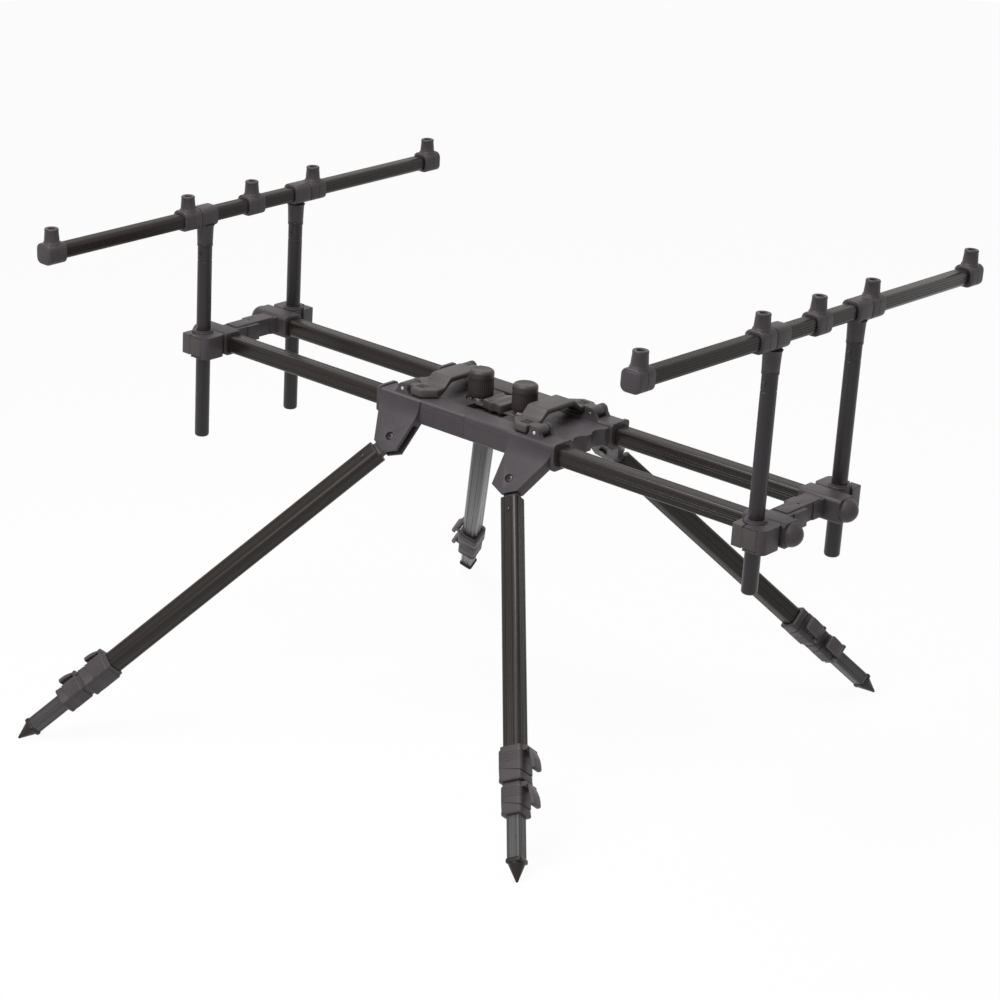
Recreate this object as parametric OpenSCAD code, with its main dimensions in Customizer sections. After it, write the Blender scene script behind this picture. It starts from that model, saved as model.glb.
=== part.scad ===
// Rod pod: two rails, two rod bars on sliding posts and four telescopic legs on a split body.
// Pod axes: X along the rails, Y across them, Z up from them. The pod leans a little on its legs.

/* [Rails] */
// Width of a rail across its flats
rail_w = 20; // [17:0.5:21]
// Corner radius of a rail
rail_r = 4; // [2:0.5:6]
// Wall thickness of a rail
rail_wall = 1.6; // [1.2:0.1:2.5]
// Distance between the two rail axes
rail_spacing = 100; // [96:1:106]
// Distance from the middle seam to a pair of posts
post_reach = 400; // [340:1:440]
// Distance from the seam to the inner end of a rail
rail_inset = 3; // [1:1:20]

/* [Body] */
// Length of one body half
half_len = 128; // [124:1:140]
// Width of a rail sleeve
sleeve_w = 28; // [26:0.5:30]
// Corner radius of a rail sleeve
sleeve_r = 3; // [2:0.5:8]
// Length of the lip at the sleeve end
lip_len = 3; // [2:0.5:6]
// How far the lip stands out from the sleeve
lip_out = 1.5; // [0.5:0.1:3]
// Top of the cross plate
plate_top = 11; // [8:0.5:12]
// Underside of the cross plate
plate_bottom = -8; // [-12:0.5:-4]
// Depth of the recess under the knobs
recess_depth = 7; // [3:0.5:9]
// Length of the recess in one half
recess_len = 26; // [22:1:30]
// Depth of the waves in the outer edge of the plate
wave_depth = 5; // [2:0.5:8]

/* [Knobs] */
// Distance from the seam to a knob
knob_x = 32; // [28:0.5:36]
// Radius of a knob
knob_r = 14.5; // [12:0.5:16]
// Height of a knob
knob_h = 31; // [24:0.5:34]
// Number of grooves round a knob
knob_grooves = 24; // [12:1:30]
// Radius of a knob stud
stud_r = 4; // [3:0.25:5]
// Width across the corners of a stud nut
nut_w = 17; // [14:0.5:20]
// Height of a stud nut
nut_h = 4; // [2:0.5:6]
// Thickness of the link plate
link_t = 2.5; // [2:0.5:5]
// Depth of the round dish that each knob's nut stands in
dish_depth = 3; // [1:0.5:5]
// Height of the crest in the middle of the link, over the dishes
crest_h = 11.5; // [8:0.5:14]

/* [Cam levers] */
// Distance from the seam to a cam pin
cam_x = 96; // [93:0.5:100]
// Height of a cam pin over the sleeve
cam_lift = 5.5; // [5.2:0.1:8]
// Radius of a cam pin
cam_pin_r = 2; // [1.5:0.1:2.5]
// Radius of the lever barrel
cam_barrel_r = 6.8; // [6:0.1:7.2]
// Inner edge of a cam lever from the seam
cam_inner = 56; // [55.5:0.5:58]
// Length of the raised bridge along the rails
bridge_len = 28.5; // [24:0.5:29]
// Height of the bridge over the cam pin
bridge_rise = 15; // [13:0.5:22]
// Thickness of the bridge
bridge_t = 6.5; // [4:0.5:8]
// Half length of the flat top of the bridge
bridge_flat = 22; // [18:0.5:25]
// Length of the slope between the bridge and a foot
slope_run = 12.5; // [9:0.5:15]

/* [Leg brackets] */
// Distance from the seam to a leg pivot
pivot_x = 87.4; // [86:0.2:90]
// Distance of a leg pivot from the middle, at the bracket's outer face
pivot_y = 87.9; // [86:0.2:92]
// Drop of a leg pivot under the rail axis, at the bracket's outer face
pivot_drop = 28.1; // [26:0.2:32]
// Outward tilt of the bracket plane
bracket_tilt = 39.2; // [36:0.2:44]
// Thickness of the outer cheek of a bracket
cheek_front = 4; // [3:0.1:5]
// Thickness of the inner cheek of a bracket
cheek_rear = 2.2; // [1.6:0.1:4]
// Width of the slot between the cheeks
slot_w = 8.4; // [7:0.1:9.5]
// Radius of a pivot bolt
bolt_r = 3; // [2.5:0.1:3.5]
// Radius of a pivot bolt head
bolt_head_r = 4.4; // [4:0.1:5]
// Depth of the recess for a bolt head
bolt_recess = 1.8; // [1:0.1:2.2]

/* [Legs] */
// Outward swing of the near left leg in its bracket plane
swing_near_left = 30.6; // [26:0.1:34]
// Outward swing of the near right leg
swing_near_right = 31.4; // [26:0.1:34]
// Outward swing of the far left leg
swing_far_left = 29.5; // [26:0.1:34]
// Outward swing of the far right leg
swing_far_right = 31.4; // [26:0.1:34]
// Length from pivot to spike point, near left leg
leg_len_left = 556; // [500:1:620]
// Length from pivot to spike point, near right leg
leg_len_right = 452; // [400:1:500]
// Width of the outer tube
outer_w = 21.5; // [21:0.1:22]
// Wall of the outer tube
outer_wall = 1.2; // [1:0.1:1.3]
// Width of the middle tube
middle_w = 18.5; // [18:0.1:18.5]
// Wall of the middle tube
middle_wall = 1; // [0.8:0.1:1.1]
// Width of the inner tube
inner_w = 15.9; // [15:0.1:15.9]
// Wall of the inner tube
inner_wall = 1; // [0.8:0.1:1.5]
// Corner radius of the outer tube
tube_r = 5; // [3:0.5:6]
// Distance from the pivot to the top of the outer tube
tube_start = 23; // [23:0.5:30]
// Radius of the knuckle eye
eye_r = 9.5; // [8:0.1:10]
// Half width of the knuckle neck
neck_half = 8.5; // [6:0.1:9]
// Length of the knuckle plug inside the tube
plug_len = 25; // [15:1:30]
// Length of inner tube that shows above the spike ring
inner_show = 45; // [30:1:60]
// Length of the cone of a spike
spike_len = 18; // [12:1:24]
// Radius of a spike point
spike_tip_r = 1.6; // [1:0.1:2.5]
// Height of the spike ring
spike_ring_h = 5; // [3:0.5:7]
// How far the spike ring stands out from the inner tube
spike_ring_out = 1.2; // [0.5:0.1:2]

/* [Leg clamps] */
// Width of an upper collar
upper_w = 28; // [27.5:0.1:29]
// Length of an upper collar
upper_len = 39; // [36:1:44]
// Width of a lower collar
lower_w = 25; // [24.5:0.1:26]
// Length of a lower collar
lower_len = 35; // [33:1:42]
// Corner radius of the collars
collar_r = 4.5; // [4.2:0.1:6]
// Length of a clamp lever from its pin
lever_len = 23; // [18:0.5:26]
// Width of a clamp lever
lever_w = 12; // [9:0.5:12.5]
// Distance from the collar end to the lever pin
lever_start = 5; // [4:0.1:8]
// Thickness of a clamp lever's blade
lever_t = 2.6; // [2:0.1:3]
// How far the blade flares away from the leg
lever_flare = 3.6; // [2:0.1:6]
// Radius of a lever pin
lever_pin_r = 1.2; // [0.8:0.05:1.5]
// Radius of a lever barrel
lever_barrel_r = 2.8; // [2.4:0.1:3.2]

/* [Posts and bars] */
// Half distance between the two posts of a bar
post_y = 75; // [73:0.5:76]
// Radius of a post
post_r = 8.5; // [7:0.1:9]
// Length of a post
post_len = 239; // [200:1:280]
// Wall of a post
post_wall = 1.5; // [1:0.1:2.5]
// Height of the left bar axis over the rails
bar_height_left = 156; // [110:1:220]
// Height of the right bar axis over the rails
bar_height_right = 207; // [110:1:220]
// Tilt of the left bar in its tees, far end up
bar_tilt_left = 1.4; // [-2:0.1:2]
// Tilt of the right bar in its tees, far end up
bar_tilt_right = -1.5; // [-2:0.1:2]
// Turn of the left bar in its tees, far end to the right
bar_turn_left = 1.6; // [-2:0.1:2]
// Turn of the right bar in its tees, far end to the right
bar_turn_right = -1; // [-2:0.1:2]
// Distance from bar axis down to the top of a post
tee_drop = 34; // [30:0.5:40]
// Width of a bar across its flats
bar_w = 17; // [15:0.5:18]
// Corner radius of a bar
bar_r = 5; // [2:0.5:6]
// Wall of a bar
bar_wall = 1.5; // [1:0.1:2.5]
// Half distance between the two end sockets
socket_reach = 300; // [260:1:330]
// Distance of the inner sockets from the middle one
socket_inner = 100; // [98.5:0.5:110]
// Width of the collars on a bar
bar_collar_w = 23.5; // [22:0.5:25]
// Corner radius of the collars on a bar
bar_collar_r = 7; // [5:0.5:9]
// Length of a socket collar along the bar
socket_len = 25; // [20:0.5:26]
// Length of a tee collar along the bar
tee_len = 24; // [20:0.5:24.5]
// Height of a socket mouth over the bar axis
socket_rise = 28; // [26:0.5:32]
// Radius of a socket at the mouth
socket_top_r = 7.5; // [6.5:0.1:8.5]
// Radius of a socket at the collar
socket_base_r = 8.8; // [8:0.1:10]
// Radius of the threaded hole
thread_r = 4; // [3:0.1:5]
// Depth of the threaded hole
thread_depth = 17; // [10:0.5:18]

/* [End brackets] */
// Width of a rail sleeve on an end bracket
end_sleeve_w = 27; // [25:0.5:28]
// Corner radius of that sleeve
end_sleeve_r = 5; // [4:0.5:9]
// Length of the sleeve inboard of the posts
end_inboard = 25; // [20:1:40]
// Length of the sleeve outboard of the posts, before its round nose
end_outboard = 27; // [20:1:34]
// Radius of a post collar
post_collar_r = 12.5; // [11:0.1:13]
// Top of a post collar
post_collar_top = 13; // [11:0.5:15]
// Underside of a post collar
post_collar_bottom = -13.5; // [-17:0.5:-12]
// Reach of a post collar past its post, round the hinge of its clamp lever
collar_end = 24.5; // [23:0.5:26]
// Thickness of the plates above and below a clamp lever
lug_t = 2; // [1.5:0.1:3]
// Length of a post clamp lever from the post axis
flag_len = 14.5; // [13:0.5:26]
// Thickness of a post clamp lever
flag_t = 7.5; // [6:0.1:9]
// Offset of a clamp lever pin from the post axis along the rails
flag_pin_x = 13; // [11:0.5:14]
// Radius of a clamp lever pin
flag_pin_r = 2; // [1.5:0.1:2.5]
// Width of the web between the two post collars
web_w = 24; // [18:1:28]

/* [Hidden] */
$fn = 48;
eps = 0.5;
big = 200;
run_gap = 0.05;
slide_gap = 0.3;
move_gap = 0.4;
seam_gap = 0.3;
round_small = 3;
groove_w = 1.4;
groove_d = 0.5;
groove_pitch = 8;
knob_groove_r = 0.9;
knob_groove_out = 0.3;
knob_grip = 0.72;
stud_skin = 2;
stud_share = 0.7;
ear_flare = 6.5;
ear_sink = 4;
ear_outset = 10;
ear_t = 5;
wave_r = 16;
pad_start = 26;
pad_proud = 1.3;
pad_top = 12.5;
pad_in = 3;
pad_step = 0.2;
edge_carry = 0.3;
nose_step = 0.4;
dish_gap = 2;
crest_lobe_r = 7;
crest_lobe_y = 12;
head_gap = 0.6;
head_sink = 0.2;
pin_proud = 0.3;
web_top = 11;
web_bottom = -8;
web_jog = 1.5;
collar_end_r = 7;
collar_step = 1;
panel_rise = 1.2;
panel_margin = 6;
dimple_r = 1.6;
dimple_d = 1;
ring_rise = 3;
ring_wall = 2.5;
post_rim = 0.7;
post_rim_h = 4;
tee_skirt = 0.3;
tee_flare = 1.6;
socket_flare = 1;
cap_t = 4;
shoulder = 1;
grip_share = 0.45;
stop_gap = 2;
spike_plug = 12;
foot_top = 5;
foot_inset = 9;
foot_gap = 0.9;
foot_cut_x = 13;
foot_cut_y = 14;
arch_step = 3;
knee_share = 0.55;
clamp_ear_t = 2.5;
blade_bow = 0.65;
LEGS = ["near_left", "near_right", "far_left", "far_right"];
SWINGS = [swing_near_left, swing_near_right, swing_far_left, swing_far_right];
LEG_PIECES = ["knuckle", "outer_tube", "upper_collar", "upper_lever", "middle_tube", "lower_collar",
    "lower_lever", "inner_tube", "spike"];
MIDDLE = ["body_left", "body_right", "link_plate", "steel_hardware", "knob_left", "knob_right",
    "cam_lever_left", "cam_lever_right"];
SIDE_PIECES = ["rails", "end_bracket", "posts", "tees", "bar", "sockets"];

rail_y = rail_spacing / 2;
sleeve_top = sleeve_w / 2;
recess_floor = plate_top - recess_depth;
link_z = plate_top - dish_depth;
crest_half = knob_x - knob_r - dish_gap;
crest_lobe_x = crest_half - crest_lobe_r;
nut_z = link_z + link_t;
knob_z = nut_z + nut_h + move_gap;
stud_foot = plate_bottom + stud_skin;
stud_top = knob_z + knob_h * stud_share;
cam_z = sleeve_top + cam_lift;
ear_out = rail_y + ear_outset;
foot_out = ear_out - ear_t - move_gap;
foot_in = rail_y - foot_inset;
foot_drop = cam_lift - foot_gap;
slope_foot = bridge_flat + slope_run;
tongue_t = slot_w - 2 * slide_gap;
bracket_front = slot_w / 2 + cheek_front;
bracket_back = slot_w / 2 + cheek_rear;
bracket_outline = [[-23, -45], [41, -45], [17, 10], [0, 19], [-17, 12]];
bracket_open = -22;
socket_ys = [-socket_reach, -socket_inner, 0, socket_inner, socket_reach];
bar_half = socket_reach + socket_len / 2 - cap_t;
pin_out = lever_barrel_r + move_gap;
flag_in = post_collar_r + slide_gap;
flag_pin_y = -(flag_in + flag_t / 2);
flag_bottom = post_collar_bottom + lug_t + slide_gap;
flag_top = post_collar_top - lug_t - slide_gap;

middle_start = tube_start + plug_len + stop_gap;
inner_start = middle_start + inner_show + round_small;

// Ground line under the spike points, in pod axes
stack_len = upper_len + slide_gap + lower_len + inner_show + spike_ring_h + spike_len;
reach_left = pivot_x + leg_len_left * sin(swing_near_left);
reach_right = pivot_x + leg_len_right * sin(swing_near_right);
pivot_mid_z = -pivot_drop - bracket_front * sin(bracket_tilt);
drop_left = leg_len_left * cos(swing_near_left) * cos(bracket_tilt) - pivot_mid_z;
drop_right = leg_len_right * cos(swing_near_right) * cos(bracket_tilt) - pivot_mid_z;
lean = atan((drop_left - drop_right) / (reach_left + reach_right));
stand_h = (drop_left - reach_left * tan(lean)) * cos(lean) + spike_tip_r;

// Puts the pod on the ground
module pod() {
    translate([0, 0, stand_h]) rotate([0, lean, 0]) children();
}

// Mirrors a piece made for the right side
module on_side(side) {
    mirror([side < 0 ? 1 : 0, 0, 0]) children();
}

// Mirrors a piece made for the near side
module on_face(far) {
    mirror([0, far ? 1 : 0, 0]) children();
}

// Middle of a leg bracket's slot: X outboard, Y out of the bracket face, Z down the bracket
module at_bracket() {
    translate([pivot_x, -pivot_y, -pivot_drop]) rotate([180 - bracket_tilt, 0, 0])
        translate([0, -bracket_front, 0]) children();
}

// Leg frame: Z down the leg from its pivot
module at_leg(i) {
    pod() on_side(side_of(i)) on_face(is_far(i)) at_bracket() rotate([0, SWINGS[i], 0]) children();
}

function is_left(i) = i % 2 == 0;
function is_far(i) = i >= 2;
function side_of(i) = is_left(i) ? -1 : 1;

// Length at which a leg's spike point meets the ground
function leg_len(i) = (pivot_mid_z + (stand_h - spike_tip_r) / cos(lean) - side_of(i) * pivot_x * tan(lean))
    / (cos(SWINGS[i]) * cos(bracket_tilt) + side_of(i) * sin(SWINGS[i]) * tan(lean));
function upper_start(i) = leg_len(i) - stack_len;
function lower_start(i) = upper_start(i) + upper_len + slide_gap;

module rounded_square(w, r) {
    square([w, w - 2 * r], center = true);
    square([w - 2 * r, w], center = true);
    for (x = [-1, 1], y = [-1, 1]) translate([x * (w / 2 - r), y * (w / 2 - r)]) circle(r);
}

module fluted_square(w, r) {
    difference() {
        rounded_square(w, r);
        for (a = [0:90:270], s = [-1, 1]) rotate(a) translate([s * groove_pitch / 2, w / 2])
            square([groove_w, 2 * groove_d], center = true);
    }
}

module fluted_tube_section(w, r, wall) {
    difference() {
        fluted_square(w, r);
        rounded_square(w - 2 * wall, r - wall);
    }
}

// Section with X to Y and Y to Z, drawn from x0 to x1
module along_x(x0, x1) {
    translate([x0, 0, 0]) rotate([90, 0, 90]) linear_extrude(x1 - x0) children();
}

// Section with Y to Z, drawn from y0 to y1
module along_y(y0, y1) {
    translate([0, y1, 0]) rotate([90, 0, 0]) linear_extrude(y1 - y0) children();
}

module along_z(z0, z1) {
    translate([0, 0, z0]) linear_extrude(z1 - z0) children();
}

// Round block with a rounded rim, standing on its flat end
module rounded_post(r, h, rim) {
    rotate_extrude() {
        square([r, h - rim]);
        square([r - rim, h]);
        translate([r - rim, h - rim]) circle(rim);
    }
}

// Body halves with rail sleeves, leg brackets and cam ears
module cam_ear() {
    foot_x = cam_barrel_r + ear_flare;
    foot_z = -cam_lift - ear_sink;
    translate([cam_x, 0, cam_z]) along_y(0, ear_t) {
        circle(cam_barrel_r);
        polygon([[-cam_barrel_r, 0], [cam_barrel_r, 0], [foot_x, foot_z], [-foot_x, foot_z]]);
    }
}

// Point on the outer face of a bracket, in Y and Z, at a height above the pivot along that face
function face_at(u) = [u * sin(bracket_tilt) - pivot_y, u * cos(bracket_tilt) - pivot_drop];

// Edge p to q of an outline carried on past p
function carried(p, q) = p + (p - q) * edge_carry;

// Pad that carries the bracket's face up the side of the sleeve in one curve
module bracket_pad() {
    side_y = -rail_y - sleeve_w / 2 - pad_proud;
    low = face_at(pad_start);
    bend = face_at((side_y + pivot_y) / sin(bracket_tilt));
    high = [side_y, pad_top];
    curve = [for (t = [0:pad_step:1]) low * (1 - t) ^ 2 + bend * 2 * t * (1 - t) + high * t ^ 2];
    back = side_y + pad_proud + pad_in;
    o = bracket_outline;
    intersection() {
        along_x(0, half_len) polygon(concat(curve, [[back, pad_top + shoulder], [back, low.y]]));
        at_bracket() along_y(-big, big) polygon([carried(o[0], o[4]), carried(o[1], o[2]), o[2], o[4]]);
    }
}

module bracket_slot(swing) {
    rotate([90, 0, 0]) linear_extrude(slot_w, center = true) {
        circle(eye_r + slide_gap + shoulder);
        translate([-big, bracket_open]) square([big, big - bracket_open]);
        rotate(-swing) translate([-big, 0]) square([big + neck_half + slide_gap, big]);
    }
}

module half_sleeves() {
    for (s = [-1, 1]) translate([0, s * rail_y, 0]) {
        along_x(seam_gap / 2, half_len) rounded_square(sleeve_w, sleeve_r);
        along_x(half_len - lip_len, half_len + shoulder)
            rounded_square(sleeve_w + 2 * lip_out, sleeve_r + lip_out);
    }
}

module half_plate() {
    difference() {
        translate([seam_gap / 2, -rail_y, plate_bottom])
            cube([half_len - lip_len, rail_spacing, plate_top - plate_bottom]);
        translate([-eps, -rail_y + sleeve_w / 2, recess_floor])
            cube([recess_len + eps, rail_spacing - sleeve_w, big]);
        translate([knob_x, 0, link_z]) cylinder(r = knob_r + dish_gap, h = big);
        for (s = [-1, 1]) translate([half_len - lip_len + wave_r - wave_depth, s * wave_r, -big / 2])
            cylinder(r = wave_r, h = big);
    }
}

module body_half(side) {
    color([0.24, 0.23, 0.25]) pod() on_side(side) difference() {
        union() {
            half_sleeves();
            half_plate();
            for (f = [false, true]) on_face(f) {
                at_bracket() along_y(-bracket_back, bracket_front) polygon(bracket_outline);
                bracket_pad();
                translate([0, -ear_out, 0]) cam_ear();
                translate([0, -foot_in + move_gap, 0]) cam_ear();
            }
        }
        for (s = [-1, 1]) translate([0, s * rail_y, 0])
            along_x(-eps, half_len + big) rounded_square(rail_w + 2 * slide_gap, rail_r + slide_gap);
        for (f = [false, true]) on_face(f) at_bracket() {
            bracket_slot(SWINGS[(side < 0 ? 0 : 1) + (f ? 2 : 0)]);
            along_y(-bracket_back - eps, bracket_front + eps) circle(bolt_r);
            along_y(bracket_front - bolt_recess, bracket_front + eps) circle(bolt_head_r + head_gap);
        }
        for (f = [false, true]) on_face(f) translate([cam_x, 0, cam_z])
            along_y(-ear_out + ear_t, -foot_in + move_gap) circle(cam_barrel_r + move_gap);
        translate([cam_x, 0, cam_z]) rotate([90, 0, 0]) cylinder(r = cam_pin_r, h = big, center = true);
        translate([knob_x, 0, stud_foot]) cylinder(r = stud_r, h = big);
    }
}

module body_left() { body_half(-1); }

module body_right() { body_half(1); }

module link_plate() {
    color([0.2, 0.2, 0.22]) pod() difference() {
        union() {
            along_z(link_z, link_z + link_t) {
                square([2 * knob_x, 2 * knob_r], center = true);
                for (s = [-1, 1]) translate([s * knob_x, 0]) circle(knob_r);
            }
            along_z(link_z, link_z + crest_h) {
                square([2 * crest_half, 2 * crest_lobe_y], center = true);
                for (x = [-1, 1], y = [-1, 1]) translate([x * crest_lobe_x, y * crest_lobe_y])
                    circle(crest_lobe_r);
            }
        }
        for (s = [-1, 1]) translate([s * knob_x, 0, 0]) cylinder(r = stud_r, h = big);
    }
}

module pivot_bolt() {
    head_h = bolt_recess - head_sink;
    seat = bracket_front - bolt_recess;
    along_y(seat, seat + head_h) circle(bolt_head_r);
    along_y(-bracket_back, seat) circle(bolt_r);
    along_y(-bracket_back - head_h - shoulder, -bracket_back) circle(bolt_head_r + shoulder, $fn = 6);
}

module steel_hardware() {
    color([0.7, 0.7, 0.72]) pod() for (s = [-1, 1]) on_side(s) {
        for (f = [false, true]) on_face(f) {
            at_bracket() pivot_bolt();
            translate([cam_x, 0, cam_z])
                along_y(-ear_out - pin_proud, -foot_in + move_gap + ear_t) circle(cam_pin_r);
        }
        translate([knob_x, 0, 0]) {
            along_z(stud_foot, stud_top) circle(stud_r);
            along_z(nut_z, nut_z + nut_h) circle(r = nut_w / 2, $fn = 6);
        }
    }
}

module knob(side) {
    color([0.16, 0.16, 0.16]) pod() translate([side * knob_x, 0, knob_z]) difference() {
        rounded_post(knob_r, knob_h, round_small);
        for (k = [1:knob_grooves]) rotate(k * 360 / knob_grooves)
            translate([knob_r + knob_groove_out, 0, -eps])
                cylinder(r = knob_groove_r, h = knob_h * knob_grip);
        translate([0, 0, -eps]) cylinder(r = stud_r + run_gap, h = stud_top - knob_z + move_gap + eps);
    }
}

module knob_left() { knob(-1); }

module knob_right() { knob(1); }

// Same points on the other side of the middle, in reverse order
function across(pts) = [for (k = [len(pts) - 1:-1:0]) [-pts[k].x, pts[k].y]];

// Cam lever: two feet on pins, joined by a raised bridge with room for fingers
module cam_lever(side) {
    outer_arch = [[-ear_out, -foot_drop], [-ear_out, foot_top], [-slope_foot, foot_top],
        [-bridge_flat - slope_run * knee_share, bridge_rise - arch_step], [-bridge_flat, bridge_rise]];
    inner_arch = [[arch_step - bridge_flat, bridge_rise - bridge_t], [arch_step - slope_foot, 0],
        [-foot_in, -foot_drop]];
    color([0.3, 0.29, 0.29]) pod() on_side(side) difference() {
        union() {
            translate([0, 0, cam_z]) along_x(cam_inner, cam_inner + bridge_len)
                polygon(concat(outer_arch, across(outer_arch), across(inner_arch), inner_arch));
            for (f = [false, true]) on_face(f) translate([0, 0, cam_z]) along_y(-foot_out, -foot_in) {
                translate([cam_x, 0]) circle(cam_barrel_r);
                translate([cam_inner, -foot_drop]) square([cam_x - cam_inner, foot_drop + foot_top]);
            }
        }
        translate([cam_x, 0, cam_z]) rotate([90, 0, 0])
            cylinder(r = cam_pin_r + run_gap, h = big, center = true);
        for (f = [false, true]) on_face(f) translate([cam_inner, -ear_out, 0]) along_z(0, big)
            polygon([[-eps, -eps], [foot_cut_x, -eps], [-eps, foot_cut_y]]);
    }
}

module cam_lever_left() { cam_lever(-1); }

module cam_lever_right() { cam_lever(1); }

// Rails and end brackets
module rails(side) {
    color([0.3, 0.29, 0.31]) pod() on_side(side) for (s = [-1, 1]) translate([0, s * rail_y, 0])
        along_x(rail_inset, post_reach + end_outboard) fluted_tube_section(rail_w, rail_r, rail_wall);
}

module left_rails() { rails(-1); }

module right_rails() { rails(1); }

module end_sleeves() {
    tip = post_reach + end_outboard;
    for (s = [-1, 1]) translate([0, s * rail_y, 0]) {
        along_x(post_reach - end_inboard, tip) rounded_square(end_sleeve_w, end_sleeve_r);
        translate([tip, 0, 0]) sphere(end_sleeve_w / 2 - nose_step);
    }
}

// Stretches of the web from the near to the far post, as start, end and shift sideways
web_runs = [
    [-post_y, -rail_y / 2, 0],
    [-rail_y / 2, -web_jog, web_jog],
    [-web_jog, rail_y / 3, -3 * web_jog],
    [rail_y / 3, post_y, -2 * web_jog]];

module end_web() {
    panel = [web_w - panel_margin, rail_spacing - end_sleeve_w - 2 * panel_margin];
    translate([post_reach, 0, 0]) difference() {
        union() {
            along_z(web_bottom, web_top) for (run = web_runs)
                translate([run[2] - web_w / 2, run[0]]) square([web_w, run[1] - run[0]]);
            along_z(web_top - eps, web_top + panel_rise) translate([-web_jog, 0])
                square(panel, center = true);
        }
        translate([0, 0, web_top - dimple_d]) cylinder(r = dimple_r, h = big);
    }
}

// Plan of a post collar at the near side, carried on round the hinge of its clamp lever
module collar_plan() {
    end_x = collar_end - collar_end_r;
    front = flag_pin_y - flag_t / 2;
    circle(post_collar_r);
    translate([0, -post_collar_r]) square([end_x, 2 * post_collar_r]);
    translate([0, front + collar_step + collar_end_r])
        square([collar_end, post_collar_r - front - collar_step - 2 * collar_end_r]);
    for (y = [front + collar_step + collar_end_r, post_collar_r - collar_end_r]) translate([end_x, y])
        circle(collar_end_r);
    translate([flag_pin_x, flag_pin_y]) circle(flag_t / 2);
    translate([0, front]) square([flag_pin_x, -front - post_r]);
}

// Post collar with the pin of its clamp lever and the pocket that the lever turns in
module post_collar() {
    difference() {
        along_z(post_collar_bottom, post_collar_top) collar_plan();
        along_z(flag_bottom - slide_gap, flag_top + slide_gap) {
            translate([flag_pin_x, flag_pin_y]) circle(flag_t / 2 + slide_gap);
            translate([-big, -flag_in + slide_gap - big]) square([big + flag_pin_x, big]);
        }
    }
    along_z(post_collar_top - eps, post_collar_top + ring_rise) circle(post_r + ring_wall);
    translate([flag_pin_x, flag_pin_y, 0]) along_z(post_collar_bottom, post_collar_top) circle(flag_pin_r);
}

module end_bracket(side) {
    color([0.26, 0.25, 0.27]) pod() difference() {
        union() {
            on_side(side) end_sleeves();
            rotate(side < 0 ? 180 : 0) end_web();
            for (a = [0, 180]) translate([side * post_reach, 0, 0]) rotate(a)
                translate([0, -post_y, 0]) post_collar();
        }
        on_side(side) for (s = [-1, 1]) translate([0, s * rail_y, 0])
            along_x(0, post_reach + end_outboard) rounded_square(rail_w, rail_r);
        for (s = [-1, 1]) translate([side * post_reach, s * post_y, -big / 2])
            cylinder(r = post_r + run_gap, h = big);
    }
}

module left_end_bracket() { end_bracket(-1); }

module right_end_bracket() { end_bracket(1); }

module post_lever(i) {
    color([0.28, 0.27, 0.29]) pod() translate([is_left(i) ? -post_reach : post_reach, 0, 0])
        rotate(is_far(i) ? 180 : 0) translate([0, -post_y, 0]) difference() {
            along_z(flag_bottom, flag_top) {
                translate([flag_pin_x, flag_pin_y]) circle(flag_t / 2);
                translate([-flag_len, flag_pin_y - flag_t / 2]) square([flag_len + flag_pin_x, flag_t]);
            }
            translate([flag_pin_x, flag_pin_y, -big / 2]) cylinder(r = flag_pin_r + run_gap, h = big);
        }
}

// Posts, tees, bar and sockets of one side
function bar_z(side) = side < 0 ? bar_height_left : bar_height_right;

module at_bar(side) {
    pod() translate([side * post_reach, 0, bar_z(side)]) children();
}

// Along the bar, which sits a little askew in its tees
module on_bar(side) {
    tilt = side < 0 ? bar_tilt_left : bar_tilt_right;
    turn = side < 0 ? bar_turn_left : bar_turn_right;
    rotate([tilt, 0, -turn]) children();
}

// A piece at each of the two posts
module on_posts() {
    for (s = [-1, 1]) translate([0, s * post_y, 0]) children();
}

module posts(side) {
    color([0.25, 0.24, 0.27]) at_bar(side) on_posts() translate([0, 0, -tee_drop]) difference() {
        mirror([0, 0, 1]) {
            rounded_post(post_r, post_len, round_small);
            along_z(0, post_rim_h) circle(post_r + post_rim);
        }
        translate([0, 0, -post_len + 2 * round_small]) cylinder(r = post_r - post_wall, h = big * 2);
    }
}

module left_posts() { posts(-1); }

module right_posts() { posts(1); }

module tees(side) {
    color([0.28, 0.27, 0.28]) at_bar(side) difference() {
        union() {
            on_bar(side) on_posts() along_y(-tee_len / 2, tee_len / 2)
                rounded_square(bar_collar_w, bar_collar_r);
            on_posts() translate([0, 0, -tee_drop])
                cylinder(r1 = post_r + tee_skirt, r2 = post_r + tee_flare, h = tee_drop);
        }
        on_bar(side) along_y(-bar_half, bar_half) rounded_square(bar_w, bar_r);
    }
}

module left_tees() { tees(-1); }

module right_tees() { tees(1); }

module bar(side) {
    color([0.27, 0.25, 0.25]) at_bar(side) on_bar(side) along_y(-bar_half, bar_half) difference() {
        rounded_square(bar_w, bar_r);
        rounded_square(bar_w - 2 * bar_wall, bar_r - bar_wall);
    }
}

module left_bar() { bar(-1); }

module right_bar() { bar(1); }

// A piece at each socket of a bar
module on_sockets() {
    for ($y = socket_ys) translate([0, $y, 0]) children();
}

module sockets(side) {
    color([0.3, 0.29, 0.3]) at_bar(side) on_bar(side) on_sockets() difference() {
        union() {
            along_y(-socket_len / 2, socket_len / 2) rounded_square(bar_collar_w, bar_collar_r);
            cylinder(r1 = socket_base_r + socket_flare, r2 = socket_top_r, h = socket_rise);
        }
        intersection() {
            along_y(-socket_len, socket_len) rounded_square(bar_w, bar_r);
            translate([-big / 2, -bar_half - $y, -big / 2]) cube([big, 2 * bar_half, big]);
        }
        translate([0, 0, socket_rise - thread_depth]) cylinder(r = thread_r, h = big);
    }
}

module left_sockets() { sockets(-1); }

module right_sockets() { sockets(1); }

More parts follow.
